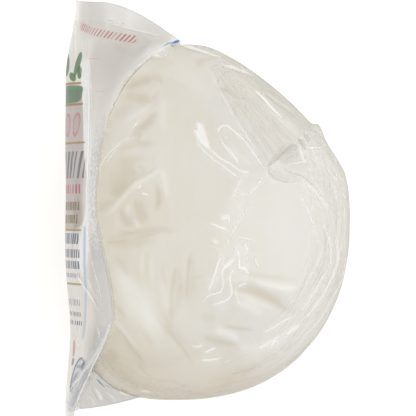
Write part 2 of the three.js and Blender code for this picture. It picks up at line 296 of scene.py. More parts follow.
# Film that lies in several layers by the big pleat, hazy and a little greyer.
HAZY_CREASES = (
    (((271, 161, 1), (268.5, 167, 2.4), (272, 173.5, 4.5), (281, 177, 5.5), (291, 178.5, 5),
      (301, 179, 3)), 0.5),
    (((306, 129, 1.5), (312, 133, 5), (317, 138, 5.5), (322, 142, 3.5), (326, 144, 1)), 0.45),
    (((303, 152, 1), (308, 160, 4), (318, 172, 8), (329, 190, 9), (336, 212, 6), (340, 232, 2)), 0.22),
)
# Painted sheen: broad soft whitish reflections of the film, laid over the ball.
SHEEN_PATCHES = (
    (((214, 243, 2), (222, 258, 5.5), (217, 278, 6), (209, 297, 2.5)), 0.22),
    (((233, 238, 2), (242, 252, 6), (246, 268, 5), (247, 282, 2)), 0.22),
    (((217, 140, 2), (228, 148, 5), (242, 158, 5), (254, 167, 2)), 0.15),
    (((228, 190, 2), (240, 205, 6), (236, 222, 6), (226, 238, 2)), 0.12),
    (((262, 352, 2), (278, 340, 5), (292, 330, 5), (303, 320, 2)), 0.3),
)
# Folds of the clear film that lie in their own shade.
SHADE_CREASES = (
    (((264, 169.5, 0.6), (271, 163, 1.6), (279, 156, 4), (287, 150.5, 6), (294, 147.5, 5),
      (299, 146, 2)), 0.62),
    (((277, 158, 1.2), (283, 161, 3), (290, 158, 4), (297, 154, 3.2), (299, 150, 1.5)), 0.45),
    (((271, 161.5, 0.5), (268.3, 167, 0.8), (269.5, 173, 0.9), (275, 178.5, 0.9), (284, 182, 0.8),
      (297, 183, 0.5)), 0.5),
    (((281, 166, 0.6), (288, 171.5, 0.9), (296, 174.5, 0.9), (303, 177, 0.9), (311, 184, 0.8),
      (319, 192, 0.5)), 0.55),
    (((297, 137.5, 0.8), (300, 141.5, 2.8), (303, 146, 2.2), (305, 151, 0.8)), 0.95),
    (((303, 133.5, 0.8), (306.5, 137.5, 2.4), (309, 142.5, 1)), 0.9),
    (((308, 127, 1), (314, 129.5, 3.6), (320, 133.5, 3.6), (325, 140, 1.6)), 0.85),
    (((100, 350, 2), (106, 363, 5), (116, 375, 6), (129, 384, 5), (146, 389, 2.5)), 0.42),
    (((272, 164, 0.4), (279, 157, 0.9), (287, 149.5, 1.2), (294, 144, 1)), 0.5),
    (((339, 236, 0.6), (341, 258, 1), (338, 276, 1.1), (329, 294, 1.1), (317, 312, 1),
      (305, 328, 0.6)), 0.28),
    (((318, 332, 0.6), (302, 352, 1.3), (284, 366, 0.8)), 0.32),
    (((318, 214, 0.5), (324, 234, 0.9), (325, 256, 1), (317, 276, 0.9), (306, 296, 0.6)), 0.25),
    (((305, 150, 0.5), (309, 157, 0.7), (313, 164, 0.6), (316, 172, 0.4)), 0.35),
    (((313, 148.5, 0.4), (319, 149, 0.6), (325, 146.5, 0.4)), 0.35),
    (((212, 66, 0.8), (214, 66, 1), (217, 66.3, 0.6)), 0.4),
    (((214, 67, 0.5), (226, 69, 0.6), (240, 73, 0.6), (255, 79, 0.4)), 0.25),
    (((216.5, 87, 0.6), (217.5, 82, 0.8), (221, 77, 0.9), (227, 72.5, 0.8), (235, 71, 0.5)), 0.3),
    (((216.5, 86.5, 0.8), (219, 89.5, 1.5), (224, 90, 1.3), (229, 93, 0.8), (234, 98, 0.5)), 0.38),
    (((228, 84, 0.4), (236, 90, 0.6), (243, 98, 0.6), (246, 108, 0.5), (245, 117, 0.4)), 0.22),
    (((234, 99, 0.4), (241, 99.5, 0.5), (247, 98, 0.4)), 0.25),
    (((235, 101, 0.4), (240, 109, 0.6), (247, 116, 0.5)), 0.2),
    (((259, 90, 0.5), (262, 93, 1), (265, 95, 0.5)), 0.25),
    (((272, 119, 0.6), (274.5, 121, 1), (273, 127, 0.6), (274, 134, 0.4)), 0.28),
    (((255, 160, 0.6), (259, 157, 0.9), (263, 157, 0.5)), 0.25),
    (((296, 302, 0.5), (288, 306, 0.6), (276, 318, 0.5)), 0.25),
    (((229, 374, 0.8), (237, 373.5, 1.3), (248, 370.5, 1.2), (258, 366, 0.7)), 0.3),
    (((281, 352, 0.6), (292, 345, 0.9), (303, 336, 0.6)), 0.25),
)
# Painted shade, yellow-brown, in the folds of the cheese and broadly over its lower left, in the same plan.
CHEESE_SHADES = (
    (((122, 90, 0.8), (130, 87, 1.8), (137, 84.5, 2.6), (147, 81, 3), (154.5, 78.5, 2)), 0.45),
    (((150, 85, 0.6), (157, 82, 1.2), (164, 79.5, 0.6)), 0.3),
    (((122, 97, 2), (130, 97, 5), (140, 98, 6), (148, 99.5, 4.5), (153, 99, 1.5)), 0.38),
    (((150, 100.5, 0.8), (155, 96, 1.6), (160, 90.5, 0.8)), 0.35),
    (((113, 121, 2), (119, 114, 4.5), (127, 108, 4.5), (136, 104, 2.5)), 0.28),
    (((113, 108, 1.5), (109, 120, 2.8), (107, 131, 2.8), (108, 141, 1.5)), 0.35),
    (((135, 131, 1.5), (141, 127, 3.2), (148, 121, 3.6), (154, 115, 3), (158.5, 111, 1)), 0.5),
    (((134, 136, 1.5), (138, 141, 3.2), (142, 144, 4.4), (150, 144, 3), (155, 142, 1)), 0.42),
    (((137.5, 132.5, 0.8), (139, 134.5, 1.8), (141, 138, 1)), 0.5),
    (((116, 152, 1.5), (124, 148, 3.2), (133, 146, 3.2), (138, 145, 1.5)), 0.3),
    (((116, 166, 2), (122, 162, 4.5), (130, 160, 4.5), (139, 159, 3), (148, 158, 1)), 0.3),
    (((134, 163, 0.8), (140, 167, 1.8), (144, 172, 2.4), (142, 178, 2.4), (135, 184, 2)), 0.38),
    (((108, 196, 1.5), (114, 193.5, 4.4), (121, 191, 5), (128, 186, 3.4), (134, 181, 1.5)), 0.5),
    (((96, 213, 1.5), (102, 208, 3.8), (108, 203, 3.8), (113, 199, 1.5)), 0.4),
    (((161, 157, 0.6), (153.5, 169, 1.4), (145, 175, 1.6), (135, 179.5, 1.6), (124, 190.5, 1.7),
      (110, 206, 1.6),
      (97.5, 218.5, 0.8)), 0.42),
    (((154.5, 181, 0.6), (157.5, 190, 1.8), (158.5, 199, 2.1), (157, 207, 1.7), (154, 213, 0.6)), 0.48),
    (((136, 196, 0.8), (135.5, 203, 2), (137, 212, 2.2), (141, 220, 1.8), (147, 226, 0.8)), 0.45),
    (((120.5, 207, 0.8), (121.5, 214, 1.9), (126, 222, 2.1), (133, 227.5, 1.4)), 0.42),
    (((114, 233, 0.6), (124, 232, 1.1), (131, 233.5, 1.2), (137, 232, 0.6)), 0.35),
    (((103, 242.5, 0.8), (112, 242.5, 2), (122, 241.5, 1.8), (130, 239, 1)), 0.5),
    (((130, 239, 0.8), (140, 237.5, 1.8), (152, 234.5, 1.6), (162, 232, 0.7)), 0.4),
    (((192.5, 251, 0.6), (190, 259, 1.6), (188.2, 268, 1.7), (187.5, 280, 1.6), (187, 293, 1.4),
      (187, 304, 0.6)), 0.5),
    (((177.5, 264.5, 0.5), (174.5, 274, 1.8), (172.5, 287, 2), (171, 300, 2), (171, 313, 2.2),
      (174, 325, 1)), 0.48),
    (((180.5, 281, 0.5), (181, 286, 1.2), (180.5, 291, 0.5)), 0.35),
    (((195, 277, 0.8), (199, 276.5, 1.8), (204, 276, 0.8)), 0.3),
    (((147, 249, 0.8), (146.5, 262, 1.6), (147, 280, 0.8)), 0.2),
    (((161, 262, 0.8), (163.5, 275, 1.6), (168, 290, 0.9)), 0.25),
    (((115, 254, 1.5), (120, 262, 3.4), (125, 270, 3.4), (129, 279, 1.5)), 0.28),
    (((124, 290, 0.6), (131, 294, 1.7), (137, 299, 1.8), (142, 306, 0.8)), 0.4),
    (((108, 281, 0.6), (113, 288, 1.6), (119, 295, 1)), 0.35),
    (((111, 299, 1), (116, 306, 2.8), (122, 313, 2.9), (127, 320, 1.2)), 0.45),
    (((113, 322.5, 0.6), (118, 329.5, 1.4), (125, 337, 1.5), (132, 349, 1.4), (140.8, 358, 1.1),
      (146.8, 370, 0.5)), 0.6),
    (((150, 306.5, 0.5), (155, 314, 1.4), (160, 322.5, 1.5), (167.5, 330.5, 1.4), (175, 339, 1.2),
      (184, 350, 1.2),
      (191, 362, 1.1), (195, 381, 0.5)), 0.45),
    (((137, 324, 1), (143, 331, 2.8), (149, 339, 2.8), (154, 347, 1.2)), 0.3),
    (((101.7, 350.5, 0.5), (110, 361.6, 1.3), (118, 370, 1.4), (125.5, 376, 1.3),
      (142.5, 381, 0.5)), 0.5),
    (((102, 362, 0.8), (110, 372, 2), (122, 381, 2.4), (136, 387, 2), (150, 390, 0.8)), 0.55),
    (((127, 381, 0.5), (139, 379.5, 1), (151, 379.4, 1.1), (171.4, 381, 1.2), (184, 385, 1),
      (192.7, 388, 0.5)), 0.5),
    (((140, 386, 0.6), (155, 388.5, 2.4), (172, 390, 3.4), (188, 393, 3), (205, 393, 2),
      (222, 390, 0.8)), 0.6),
    (((197, 389.6, 0.6), (209, 388.8, 1.4), (229, 383.7, 1.6), (253, 377.7, 1.4), (270, 371, 0.5)), 0.5),
    (((205, 380, 1), (222, 379, 4), (240, 377, 4), (256, 371, 1.5)), 0.35),
    (((233, 287, 0.8), (240, 289.5, 2.2), (252, 292, 3), (266, 297.5, 3.2), (280, 306, 2.8),
      (294, 315.5, 1)), 0.6),
    (((238, 272, 1), (250, 274, 2.6), (264, 276, 2.8), (280, 278, 2.4), (300, 281, 1)), 0.32),
    (((220, 326, 1), (232, 327.5, 2.2), (246, 329, 2), (256, 331, 1)), 0.4),
    (((200, 334.5, 1.5), (212, 340, 3.2), (226, 343, 3.2), (240, 345, 1.2)), 0.5),
    (((200, 317, 2), (208, 317, 4), (217, 320, 2)), 0.25),
    (((100, 355, 2), (108, 345, 5), (114, 338, 5), (119, 350, 3)), 0.3),
    (((197, 72, 1), (198, 65, 2), (203, 61, 2), (209, 59.5, 1.4), (218, 59.5, 0.5)), 0.35),
    (((102, 342, 3), (110, 354, 7), (118, 367, 9), (131, 379, 9), (148, 387, 6), (166, 391, 3)), 0.75),
)
# Painted light and painted highlights on the ridges between them, and broad painted light over the lower left
# of the ball.
PAINTED_LIGHT_STROKES = (
    (((164, 160, 0.6), (157, 172, 1.6), (138, 183, 2), (127, 194, 2), (113, 210, 1.8),
      (101, 222, 0.8)), 0.4),
    (((128, 203, 1.5), (127.5, 210, 2.6), (129, 218, 1.2)), 0.45),
    (((133, 219, 0.8), (137, 224, 1.7), (141, 229, 0.8)), 0.4),
    (((161.5, 166, 1.2), (164, 176, 3.2), (166, 188, 2.8), (167.5, 200, 1)), 0.45),
    (((142.5, 250, 1), (142, 264, 2.2), (141.5, 279, 1)), 0.3),
    (((152, 252, 1), (151.5, 268, 2), (152, 286, 1)), 0.3),
    (((127, 298, 1.5), (134, 306, 4.5), (141, 315, 5.5), (147, 323, 3)), 0.4),
    (((112, 318, 1), (121, 328, 2.4), (131, 340, 2.6), (141, 352, 1.4)), 0.4),
    (((250, 281, 0.8), (262, 284, 2.8), (276, 287, 3.4), (290, 288, 2.8), (299, 287, 1)), 0.75),
    (((233, 295, 1.5), (240, 303, 3.4), (250, 306.5, 5), (258, 311, 4), (266, 308, 1.5)), 0.55),
    (((212, 331, 1), (222, 331.5, 3.4), (233, 336, 3.8), (241, 342.5, 1.5)), 0.75),
    (((258, 352, 1), (264, 347, 4), (274, 341, 4), (282, 335, 1.5)), 0.5),
    (((121, 123, 1), (131, 118, 2.6), (141, 112, 3), (150, 105, 2), (158, 98, 1)), 0.3),
    (((165, 95, 2), (163, 115, 4), (166, 135, 3)), 0.25),
    (((114, 262, 3), (125, 282, 8), (138, 303, 15), (150, 322, 13), (160, 345, 6)), 0.6),
    (((160, 278, 4), (166, 298, 8), (165, 318, 5)), 0.25),
    (((236, 346, 4), (250, 350, 8), (266, 352, 4)), 0.4),
    (((200, 356, 3), (212, 362, 6), (224, 364, 3)), 0.3),
    (((216, 290, 3), (222, 303, 6), (226, 314, 3)), 0.25),
)
# Fine creases drawn at random: half widths are in pixels, bends and bearings in degrees.
CREASE_SEED = 5
THINNEST = 0.2
FAN_LINES = 26
FAN_LAST_START = 30.0
FAN_SHORTEST = 5.0
FAN_BEND = (-5.0, 1.0)
FAN_WIDEST = (0.15, 0.45)
FAN_SHARES = (0.0, 0.35, 0.7, 1.0)
FAN_DENSITY = (0.06, 0.24)
# Round the far end and round the bottom: how many, bearings, lengths (degrees), innermost share.
RIM_LINES = (40, (33.0, -38.0), (12.0, 42.0), 0.78)
FOOT_LINES = (18, (-70.0, -112.0), (6.0, 16.0), 0.93)
RIM_OUTER = 0.985
RIM_LIMIT = 0.99
RIM_CROWDING = 0.7
RIM_DRIFT = (-0.05, 0.035)
RIM_WIDEST = (0.2, 0.8)
RIM_SHARES = (0.0, 0.4, 0.75, 1.0)
RIM_DENSITY = (0.05, 0.2)
# Crossing creases beside the pleat: places in pixels, turn with its scatter (degrees).
CRINKLES = 60
CRINKLE_X = (304, 343)
CRINKLE_Y = (150, 212)
CRINKLE_TURN = (60.0, 18.0)
CRINKLE_REACH = (4.0, 11.0)
CRINKLE_BEND = (-1.5, 1.5)
CRINKLE_ENDS = (0.25, 0.2)
CRINKLE_WIDEST = (0.4, 1.0)
CRINKLE_DENSITY = (0.15, 0.4)

# ---- creases of the printed film, with painted highlights and painted shade on them, in the same plan ----
# Painted highlights along the crease, the seam and the streaks of the printed film.
SEAL_GLINTS = (
    (((87.5, 64, 0.4), (89.5, 100, 0.8), (89, 140, 0.9), (88, 175, 0.8), (86, 212, 0.5)), 0.7),
    (((80, 62, 0.4), (84, 90, 0.7), (86, 130, 0.6)), 0.4),
    (((76.5, 14, 0.8), (75.5, 36, 1.3), (77, 60, 0.8)), 0.4),
    (((106, 21.5, 0.4), (120, 26, 0.6), (137, 30, 0.7), (152, 33.5, 0.7), (166, 37.5, 0.4)), 0.65),
    (((97, 326, 0.4), (99.5, 333, 0.9), (101.5, 340, 0.4)), 0.5),
    (((74, 268, 0.6), (82, 283, 1.3), (92, 298, 1.2), (99, 312, 0.6)), 0.45),
    (((78, 262, 0.3), (88, 280, 0.6), (97, 297, 0.6), (106, 310, 0.4)), 0.3),
    (((71, 300, 0.4), (76, 330, 0.7), (80, 352, 0.5)), 0.3),
    (((86, 222, 0.5), (90, 250, 0.8), (97, 280, 0.6), (104, 304, 0.4)), 0.35),
)
# Film drawn together into a rope at the bottom corner, its lift, crown (mm) and cells across.
FILM_ROPE = (
    (((110, 320, 1.5), (104, 336, 5), (97, 352, 8.5), (88, 370, 9.5), (79, 387, 8.5), (73, 401, 7.5),
      (70, 412, 6)), 0.78),
)
ROPE_LIFT = 0.2
ROPE_CROWN = 0.35
ROPE_COLUMNS = 8
# Painted highlights along the edges of the rope.
ROPE_HIGHLIGHTS = (
    (((113, 317, 0.5), (109, 332, 0.9), (103, 347, 1.1), (95, 363, 1.2), (85, 384, 1.2), (76, 404, 1),
      (73.5, 411, 0.5)), 0.5),
    (((111, 322, 0.4), (103, 343, 1), (94, 361, 1.2), (82, 377, 1.4), (73, 389, 1),
      (69, 396, 0.5)), 0.36),
    (((104, 345, 0.5), (94, 366, 0.8), (83, 387, 0.9), (74, 406, 0.5)), 0.36),
)
# The far side of the film past the bottom corner: painted highlights on creases, painted shade on others and
# over the corner's foot, and a little ink.
FLANGE_GLINTS = (
    (((94, 388, 0.8), (98, 394, 2.6), (103, 402, 1)), 0.6),
    (((119, 390, 0.8), (124, 393, 3), (130, 397, 1.2)), 0.6),
    (((106, 391, 0.5), (111, 396, 1.8), (116, 402, 0.6)), 0.45),
    (((87, 393, 0.5), (92, 401, 1.2), (96, 408, 0.5)), 0.4),
)
FLANGE_SHADES = (
    (((103, 384, 0.8), (111, 388, 2), (119, 389, 0.8)), 0.35),
    (((102, 393, 0.6), (107, 399, 1.6), (111, 404, 0.6)), 0.3),
    (((90, 385, 0.6), (94, 393, 1.6), (98, 402, 0.8)), 0.3),
    (((79, 380, 2), (76.5, 390, 4.5), (73.5, 402, 5.5), (70, 414.5, 4.5)), 0.8),
)
FLANGE_INK = (
    (((95, 378, 0.4), (99.5, 382.5, 1.2), (104.5, 387.5, 0.5)), 0.62),
)
# Dark lines of the printed film (seam and crease lines, and small printed dashes), with painted shade below
# the seam, in the rope, along the strip and over the wing.
SEAL_LINES_AND_SHADES = (
    (((88.5, 62, 0.35), (90.5, 92, 0.5), (90, 130, 0.5), (88.5, 180, 0.45), (86.5, 210, 0.35)), 0.5),
    (((74.5, 30, 0.4), (74, 44, 0.6), (74.5, 60, 0.4)), 0.3),
    (((107, 20, 0.35), (110.5, 20.6, 0.5), (114, 21.4, 0.35)), 0.6),
    (((121, 23, 0.4), (125.5, 24, 0.4)), 0.7),
    (((122, 28, 0.3), (141, 33, 0.5), (160, 38, 0.3)), 0.35),
    (((87, 58.5, 0.3), (101, 59, 0.3)), 0.4),
    (((94, 92, 0.3), (107, 91, 0.3)), 0.35),
    (((107, 332, 0.4), (99, 350, 0.8), (89, 368, 1.2), (79, 386, 1.4), (71, 401, 0.9)), 0.4),
    (((91, 377, 0.35), (89, 384, 0.5), (86.5, 391, 0.35)), 0.7),
    (((95, 120, 0.4), (99, 150, 0.6), (93, 185, 0.5), (92, 206, 0.5), (100, 240, 0.5),
      (107, 262, 0.4)), 0.25),
    (((78, 190, 0.6), (76.5, 215, 1.3), (73.5, 236, 0.7)), 0.4),
    (((74, 100, 0.8), (73, 150, 1.4), (73.5, 200, 0.9)), 0.25),
    (((110, 44, 3), (124, 50, 8), (136, 52, 8), (150, 46, 3)), 0.12),
)
# The folded tip over the top corner, in the air: height over the floor, lift and thickness.
TIP_HEIGHT = 70.6
TIP_LIFT = 0.3
TIP_THICKNESS = 0.04
CORNER_TIP = (
    (((171.5, 43.6, 0.6), (175.5, 42.0, 1.7), (180, 40.6, 1.2)), 0.9),
    (((163.5, 46.4, 0.35), (168, 43.6, 0.5), (173, 41.4, 0.35)), 0.6),
)

# ---- the torn edge of the clear film along the seal ----
# Tabs: place up the pack, reach, half width.
TORN_TABS = (
    (48.6, 1.8, 0.9),
    (45.2, 2.4, 1.4),
    (41.5, 1.4, 0.5),
    (35.4, 2.4, 1.3),
    (32.2, 1.4, 0.4),
    (26.4, 1.3, 0.8),
    (-26.6, 1.4, 0.7),
)
# Uneven width: height, length and seed of each noise, on the plain width, and the least width left.
TORN_NOISE = ((0.45, 2.4, 2.0), (0.3, 0.7, 4.0))
RIM_WIDTH = 1.15
RIM_LEAST = 0.25
# Cells out and up, and the step up the film over which its run is measured.
RIM_GRID = (6, 340)
RIM_STEP = 0.004
# Share across the printed film where the torn edge begins, and how far it is tucked behind it there.
RIM_UNDER = 0.95
RIM_TUCK = 0.3
# How far it keeps off the ball, its least rise for each millimetre out, and the gaps it bridges.
RIM_CLEAR = 0.08
RIM_RISE = 0.3
RIM_BRIDGE = (4.0, 1.6)


def ramp(low, high, value):
    """0 at low, 1 at high, smooth between; low may be the larger."""
    share = np.clip((value - low) / (high - low), 0.0, 1.0)
    return share * share * (3.0 - 2.0 * share)


def bell(distance, width):
    """1 in the middle, falling away over width."""
    return np.exp(-((distance / width) ** 2))


def lerp(low, high, share):
    return low + (high - low) * share


def plan_mm(pixel):
    """A pixel of the plan in millimetres."""
    return (pixel[0] - PLAN_LEFT) * PIXEL, (PLAN_TOP - pixel[1]) * PIXEL


def plan_pixel(x, y):
    """The pixel of a place in the plan."""
    return PLAN_LEFT + x / PIXEL, PLAN_TOP - y / PIXEL


def smooth_path(points, steps):
    """A smooth line through the given points; every column of a point is carried along."""
    points = np.array(points, float)
    before = 2.0 * points[0] - points[1]
    after = 2.0 * points[-1] - points[-2]
    padded = np.vstack((before, points, after))
    line = []
    for k in range(1, len(padded) - 2):
        a, b, c, d = padded[k - 1:k + 3]
        for t in np.arange(steps) / steps:
            curved = (2.0 * a - 5.0 * b + 4.0 * c - d) * t * t + (3.0 * b - a - 3.0 * c + d) * t**3
            line.append(0.5 * (2.0 * b + (c - a) * t + curved))
    line.append(points[-1])
    return np.array(line)


def noise_at(points, stretch, seed=0.0):
    """Smooth noise from -1 to 1 at many points, each axis stretched by its own length."""
    scaled = points / np.array(stretch) + seed
    return np.array([noise.noise(Vector(place)) for place in scaled])


# ---- the printed film's form ----
class Edge:
    """How far back one side edge of the printed film stands, from its top to its bottom."""

    flare_top = 50.8
    tip_length = 1.5
    tuck_to = -51.9
    foot_lift = 3.7

    def __init__(self, base, flare, flare_length, tip, swell, swell_y, tuck, tuck_from):
        self.base = base
        self.flare = flare
        self.flare_length = flare_length
        self.tip = tip
        self.swell = swell
        self.swell_y = swell_y
        self.tuck = tuck
        self.tuck_from = tuck_from

    def x(self, y):
        below = np.maximum(0.0, self.flare_top - y)
        flare = self.flare * np.exp(-below / self.flare_length) + self.tip * np.exp(-below / self.tip_length)
        swell = self.swell * ramp(*self.swell_y, y)
        tuck = self.tuck * ramp(self.tuck_from, self.tuck_to, y)
        return self.base + flare + swell - tuck


NEAR_EDGE = Edge(base=-26.8, flare=20.5, flare_length=13.2, tip=3.8, swell=5.5, swell_y=(8.0, -26.0),
                 tuck=10.5, tuck_from=-25.6)
FAR_EDGE = Edge(base=-26.6, flare=14.0, flare_length=10.5, tip=0.0, swell=1.8, swell_y=(10.0, -20.0),
                tuck=-11.7, tuck_from=-28.0)


def half_width(y):
    """Half the width of the printed film at a height y."""
    return EDGE_Z - EDGE_DROP * ramp(*EDGE_DROP_Y, y)


def crease_depth(y):
    """How far from the middle line the crease runs at a height y."""
    return half_width(y) * lerp(CREASE_SHARE, WING_CREASE_SHARE, ramp(*WING_Y, y))


def film_x(y, z):
    """How far back the printed film stands at a height y and a depth z from the ball's axis."""
    side = half_width(y)
    edge = np.where(z >= 0.0, NEAR_EDGE.x(y), FAR_EDGE.x(y))
    waist = WAIST[0] * bell(y - WAIST[1], WAIST[2])
    middle = FACE_X + waist + TOP_LEAN * ramp(TOP_LEAN_FROM, TOP_Y, y)
    wing = ramp(*WING_Y, y)
    crease_z = crease_depth(y)
    upper_rise = lerp(CREASE_RISE, TOP_CREASE_RISE, ramp(TOP_RISE_FROM, TOP_Y, y))
    rise = lerp(upper_rise, FOOT_CREASE_RISE, ramp(*FOOT_RISE_Y, y))
    depth = np.minimum(np.abs(z), side)
    face = middle + rise * (np.minimum(depth, crease_z) / crease_z) ** 2
    out = np.clip((depth - crease_z) / (side - crease_z), 0.0, 1.0)
    margin = middle + rise + (edge - middle - rise) * out ** (1.0 + WING_BEND * wing)
    return np.where(depth <= crease_z, face, margin)


def film_span(across):
    """Bottom and top of the printed film at a place across it."""
    past_crease = np.maximum(0.0, np.abs(across) - CREASE_SHARE) / (1.0 - CREASE_SHARE)
    bottom = BOTTOM_Y + Edge.foot_lift * past_crease**FOOT_POWER
    side = TOP_Y - TOP_SLOPE * np.abs(across)
    corner = np.maximum(0.0, np.abs(across) - CORNER_FROM) / (1.0 - CORNER_FROM)
    top = side - (TOP_Y - TOP_SLOPE - Edge.flare_top) * corner**CORNER_POWER
    return bottom, top


def film_points(across, up):
    """Points of the printed film: across from -1 to 1, up from 0 to 1."""
    bottom, top = film_span(across)
    y = lerp(bottom, top, up)
    z = across * half_width(y)
    return np.stack((film_x(y, z), y, z + AXIS_Z), axis=1)


def behind_film(y, z):
    """How far back the ball keeps at each place, so that it clears the printed film."""
    sign = np.where(z >= 0.0, 1.0, -1.0)
    out = np.abs(z) + FILM_REACH
    depth = sign * np.minimum(out, half_width(y) - FILM_REACH)
    slope_y = film_x(y + FILM_REACH, depth) - film_x(y - FILM_REACH, depth)
    slope_z = film_x(y, depth + FILM_REACH) - film_x(y, depth - FILM_REACH)
    steep = np.hypot(slope_y, slope_z) / (2.0 * FILM_REACH)
    reached = [film_x(y + step, sign * out) for step in (-FILM_REACH, 0.0, FILM_REACH)]
    return np.maximum.reduce(reached) + FILM_GAP * np.hypot(1.0, steep)


# ---- the ball's form ----
def plain_ball(direction):
    """The ball without flats and folds, measured from its axis."""
    forward = direction[:, 0] < 0.0
    length = np.where(forward, FRONT_LENGTH, BACK_LENGTH)
    power = np.where(forward, FRONT_POWER, BACK_POWER)
    full = lerp(2.0, FULLNESS, ramp(*FULL_X, direction[:, 0]))
    tall = np.abs(direction[:, 1] / RADIUS_Y) ** full
    deep = np.abs(direction[:, 2] / RADIUS_Z) ** full
    round_part = (tall + deep) ** (1.0 / full)
    reach = (np.abs(direction[:, 0] / length) ** power + round_part**power) ** (-1.0 / power)
    return direction * reach[:, None] + np.array((WIDEST_X, 0.0, 0.0))


def flatten(points):
    for normal, start, keep in FLATS:
        normal = np.array(normal) / np.linalg.norm(normal)
        beyond = points @ normal - start
        cut = FLAT_BEND * np.log1p(np.exp(np.minimum(beyond / FLAT_BEND, MOST_BENDS)))
        points = points - np.outer(cut * (1.0 - keep), normal)
    return points


def plan_of(points):
    """Where points lie in the plan, in millimetres."""
    scale = PLAN_HEIGHT / (PLAN_HEIGHT - np.abs(points[:, 2]))
    x = PLAN_X + (points[:, 0] - PLAN_X) * scale
    y = PLAN_Y + (points[:, 1] - PLAN_Y) * scale
    return x, y


def shown_plan(points):
    """The same with the hidden side turned over onto the shown one."""
    x, y = plan_of(points)
    return x, np.where(points[:, 2] >= 0.0, y, -y)


def plan_of_one(point):
    """Where one point, given from the floor, lies in the plan."""
    x, y = plan_of(np.array(((point[0], point[1], point[2] - AXIS_Z),)))
    return x[0], y[0]


def path_off(x, y, path):
    """How far each point lies off a curved line of the plan, and at what share of its length."""
    nearest = np.full(len(x), np.inf)
    place = np.zeros(len(x))
    legs = len(path) - 1
    for k, (start, end) in enumerate(zip(path[:-1], path[1:])):
        run = end - start
        along = ((x - start[0]) * run[0] + (y - start[1]) * run[1]) / (run[0] ** 2 + run[1] ** 2)
        along = np.clip(along, 0.0, 1.0)
        off = np.hypot(x - start[0] - along * run[0], y - start[1] - along * run[1])
        closer = off < nearest
        nearest = np.where(closer, off, nearest)
        place = np.where(closer, (k + along) / legs, place)
    return nearest, place


def ends_fade(place, length):
    """1 along the middle of a line, falling to 0 over a length at each of its ends."""
    return ramp(0.0, length, place) * ramp(1.0, 1.0 - length, place)


def path_share(x, y, path, width):
    """How strongly a curved line of the plan is felt at each point, fading at its ends."""
    off, place = path_off(x, y, path)
    return bell(off, width) * lerp(FOLD_END_SHARE, 1.0, ends_fade(place, FOLD_ENDS))


def strokes_felt(points, strokes):
    """How strongly tapering strokes of the plan are felt at each point, the same on both sides."""
    x, y = shown_plan(points)
    felt = np.zeros(len(x))
    for pixels, density in strokes:
        path = smooth_path(pixels, SOFT_STEPS)
        path[:, 0], path[:, 1] = plan_mm((path[:, 0], path[:, 1]))
        width = path[:, 2] * PIXEL
        edge = FELT_WIDTHS * width.max()
        low, high = path[:, :2].min(axis=0) - edge, path[:, :2].max(axis=0) + edge
        near = np.nonzero((x > low[0]) & (x < high[0]) & (y > low[1]) & (y < high[1]))[0]
        off, place = path_off(x[near], y[near], path)
        wide = np.interp(place, np.linspace(0.0, 1.0, len(width)), width)
        felt[near] = np.maximum(felt[near], density * bell(off, wide) * ends_fade(place, STROKE_ENDS))
    return felt


def soft_folds(points, direction):
    """Height of the broad folds that cheese and film share."""
    x, y = plan_of(points)
    flipped = np.where(direction[:, 2] >= 0.0, y, -y)
    facing = ramp(*FOLD_SEEN, np.abs(direction[:, 2]))
    wander = noise_at(points, FOLD_NOISE) * FOLD_WANDER
    height = LUMP_HEIGHT * noise_at(points, FOLD_NOISE, LUMP_SEED)
    for pixels, width, rise in FOLDS:
        path = smooth_path([plan_mm(pixel) for pixel in pixels], SOFT_STEPS)
        height += facing * rise * path_share(x + wander, flipped + WANDER_UP * wander, path, width)
    return height


def pleat_height(points, direction):
    """The one big pleat: steep on its high side, running out gently on the other."""
    x, y = plan_of(points)
    start, end = PLEAT
    run = (end[0] - start[0], end[1] - start[1])
    length = math.hypot(*run)
    along = ((x - start[0]) * run[0] + (y - start[1]) * run[1]) / length
    off = ((x - start[0]) * run[1] - (y - start[1]) * run[0]) / length
    past = np.maximum(0.0, np.maximum(-along, along - length))
    width = np.where(off > 0.0, PLEAT_GENTLE, PLEAT_STEEP)
    shown = ramp(*PLEAT_SEEN, direction[:, 2])
    return shown * PLEAT_HEIGHT * bell(off, width) * bell(past, FOLD_FADE)


def fan_map(points):
    """Bearing round the fan's apex and distance from it, and how far the fan is felt."""
    x, y = shown_plan(points)
    apex = plan_mm(FAN_APEX)
    bearing = np.degrees(np.arctan2(y - apex[1], x - apex[0]))
    distance = np.hypot(x - apex[0], y - apex[1])
    inside = ramp(*FAN_TURN_IN, bearing) * ramp(*FAN_TURN_OUT, bearing)
    return bearing, distance, inside * ramp(*FAN_FAR_IN, distance) * ramp(*FAN_FAR_OUT, distance)


def rim_map(points):
    """Bearing round the ball and share of its radius, and how far the far end's creases are felt."""
    across = (points[:, 0] - WIDEST_X) / BACK_LENGTH
    up = points[:, 1] / RADIUS_Y
    bearing = np.degrees(np.arctan2(up, across))
    outward = np.hypot(across, up)
    inside = ramp(*RIM_TURN_IN, bearing) * ramp(*RIM_TURN_OUT, bearing)
    return bearing, outward, inside * ramp(*RIM_FAR_IN, outward)


def fine_creases(points):
    """Height of the small creases of the clear film, drawn out along the way it is pulled."""
    bearing, distance, fan = fan_map(points)
    rays = np.stack((bearing, distance, np.sign(points[:, 2]) * FAN_SIDE_STEP), axis=1)
    height = FAN_HEIGHT * fan * noise_at(rays, FAN_STRETCH)
    bearing, outward, rim = rim_map(points)
    rings = np.stack((MAP_SCALE * (outward - RIM_TWIST * bearing), bearing, points[:, 2]), axis=1)
    return height + RIM_HEIGHT * rim * noise_at(rings, RIM_STRETCH, RIM_SEED)


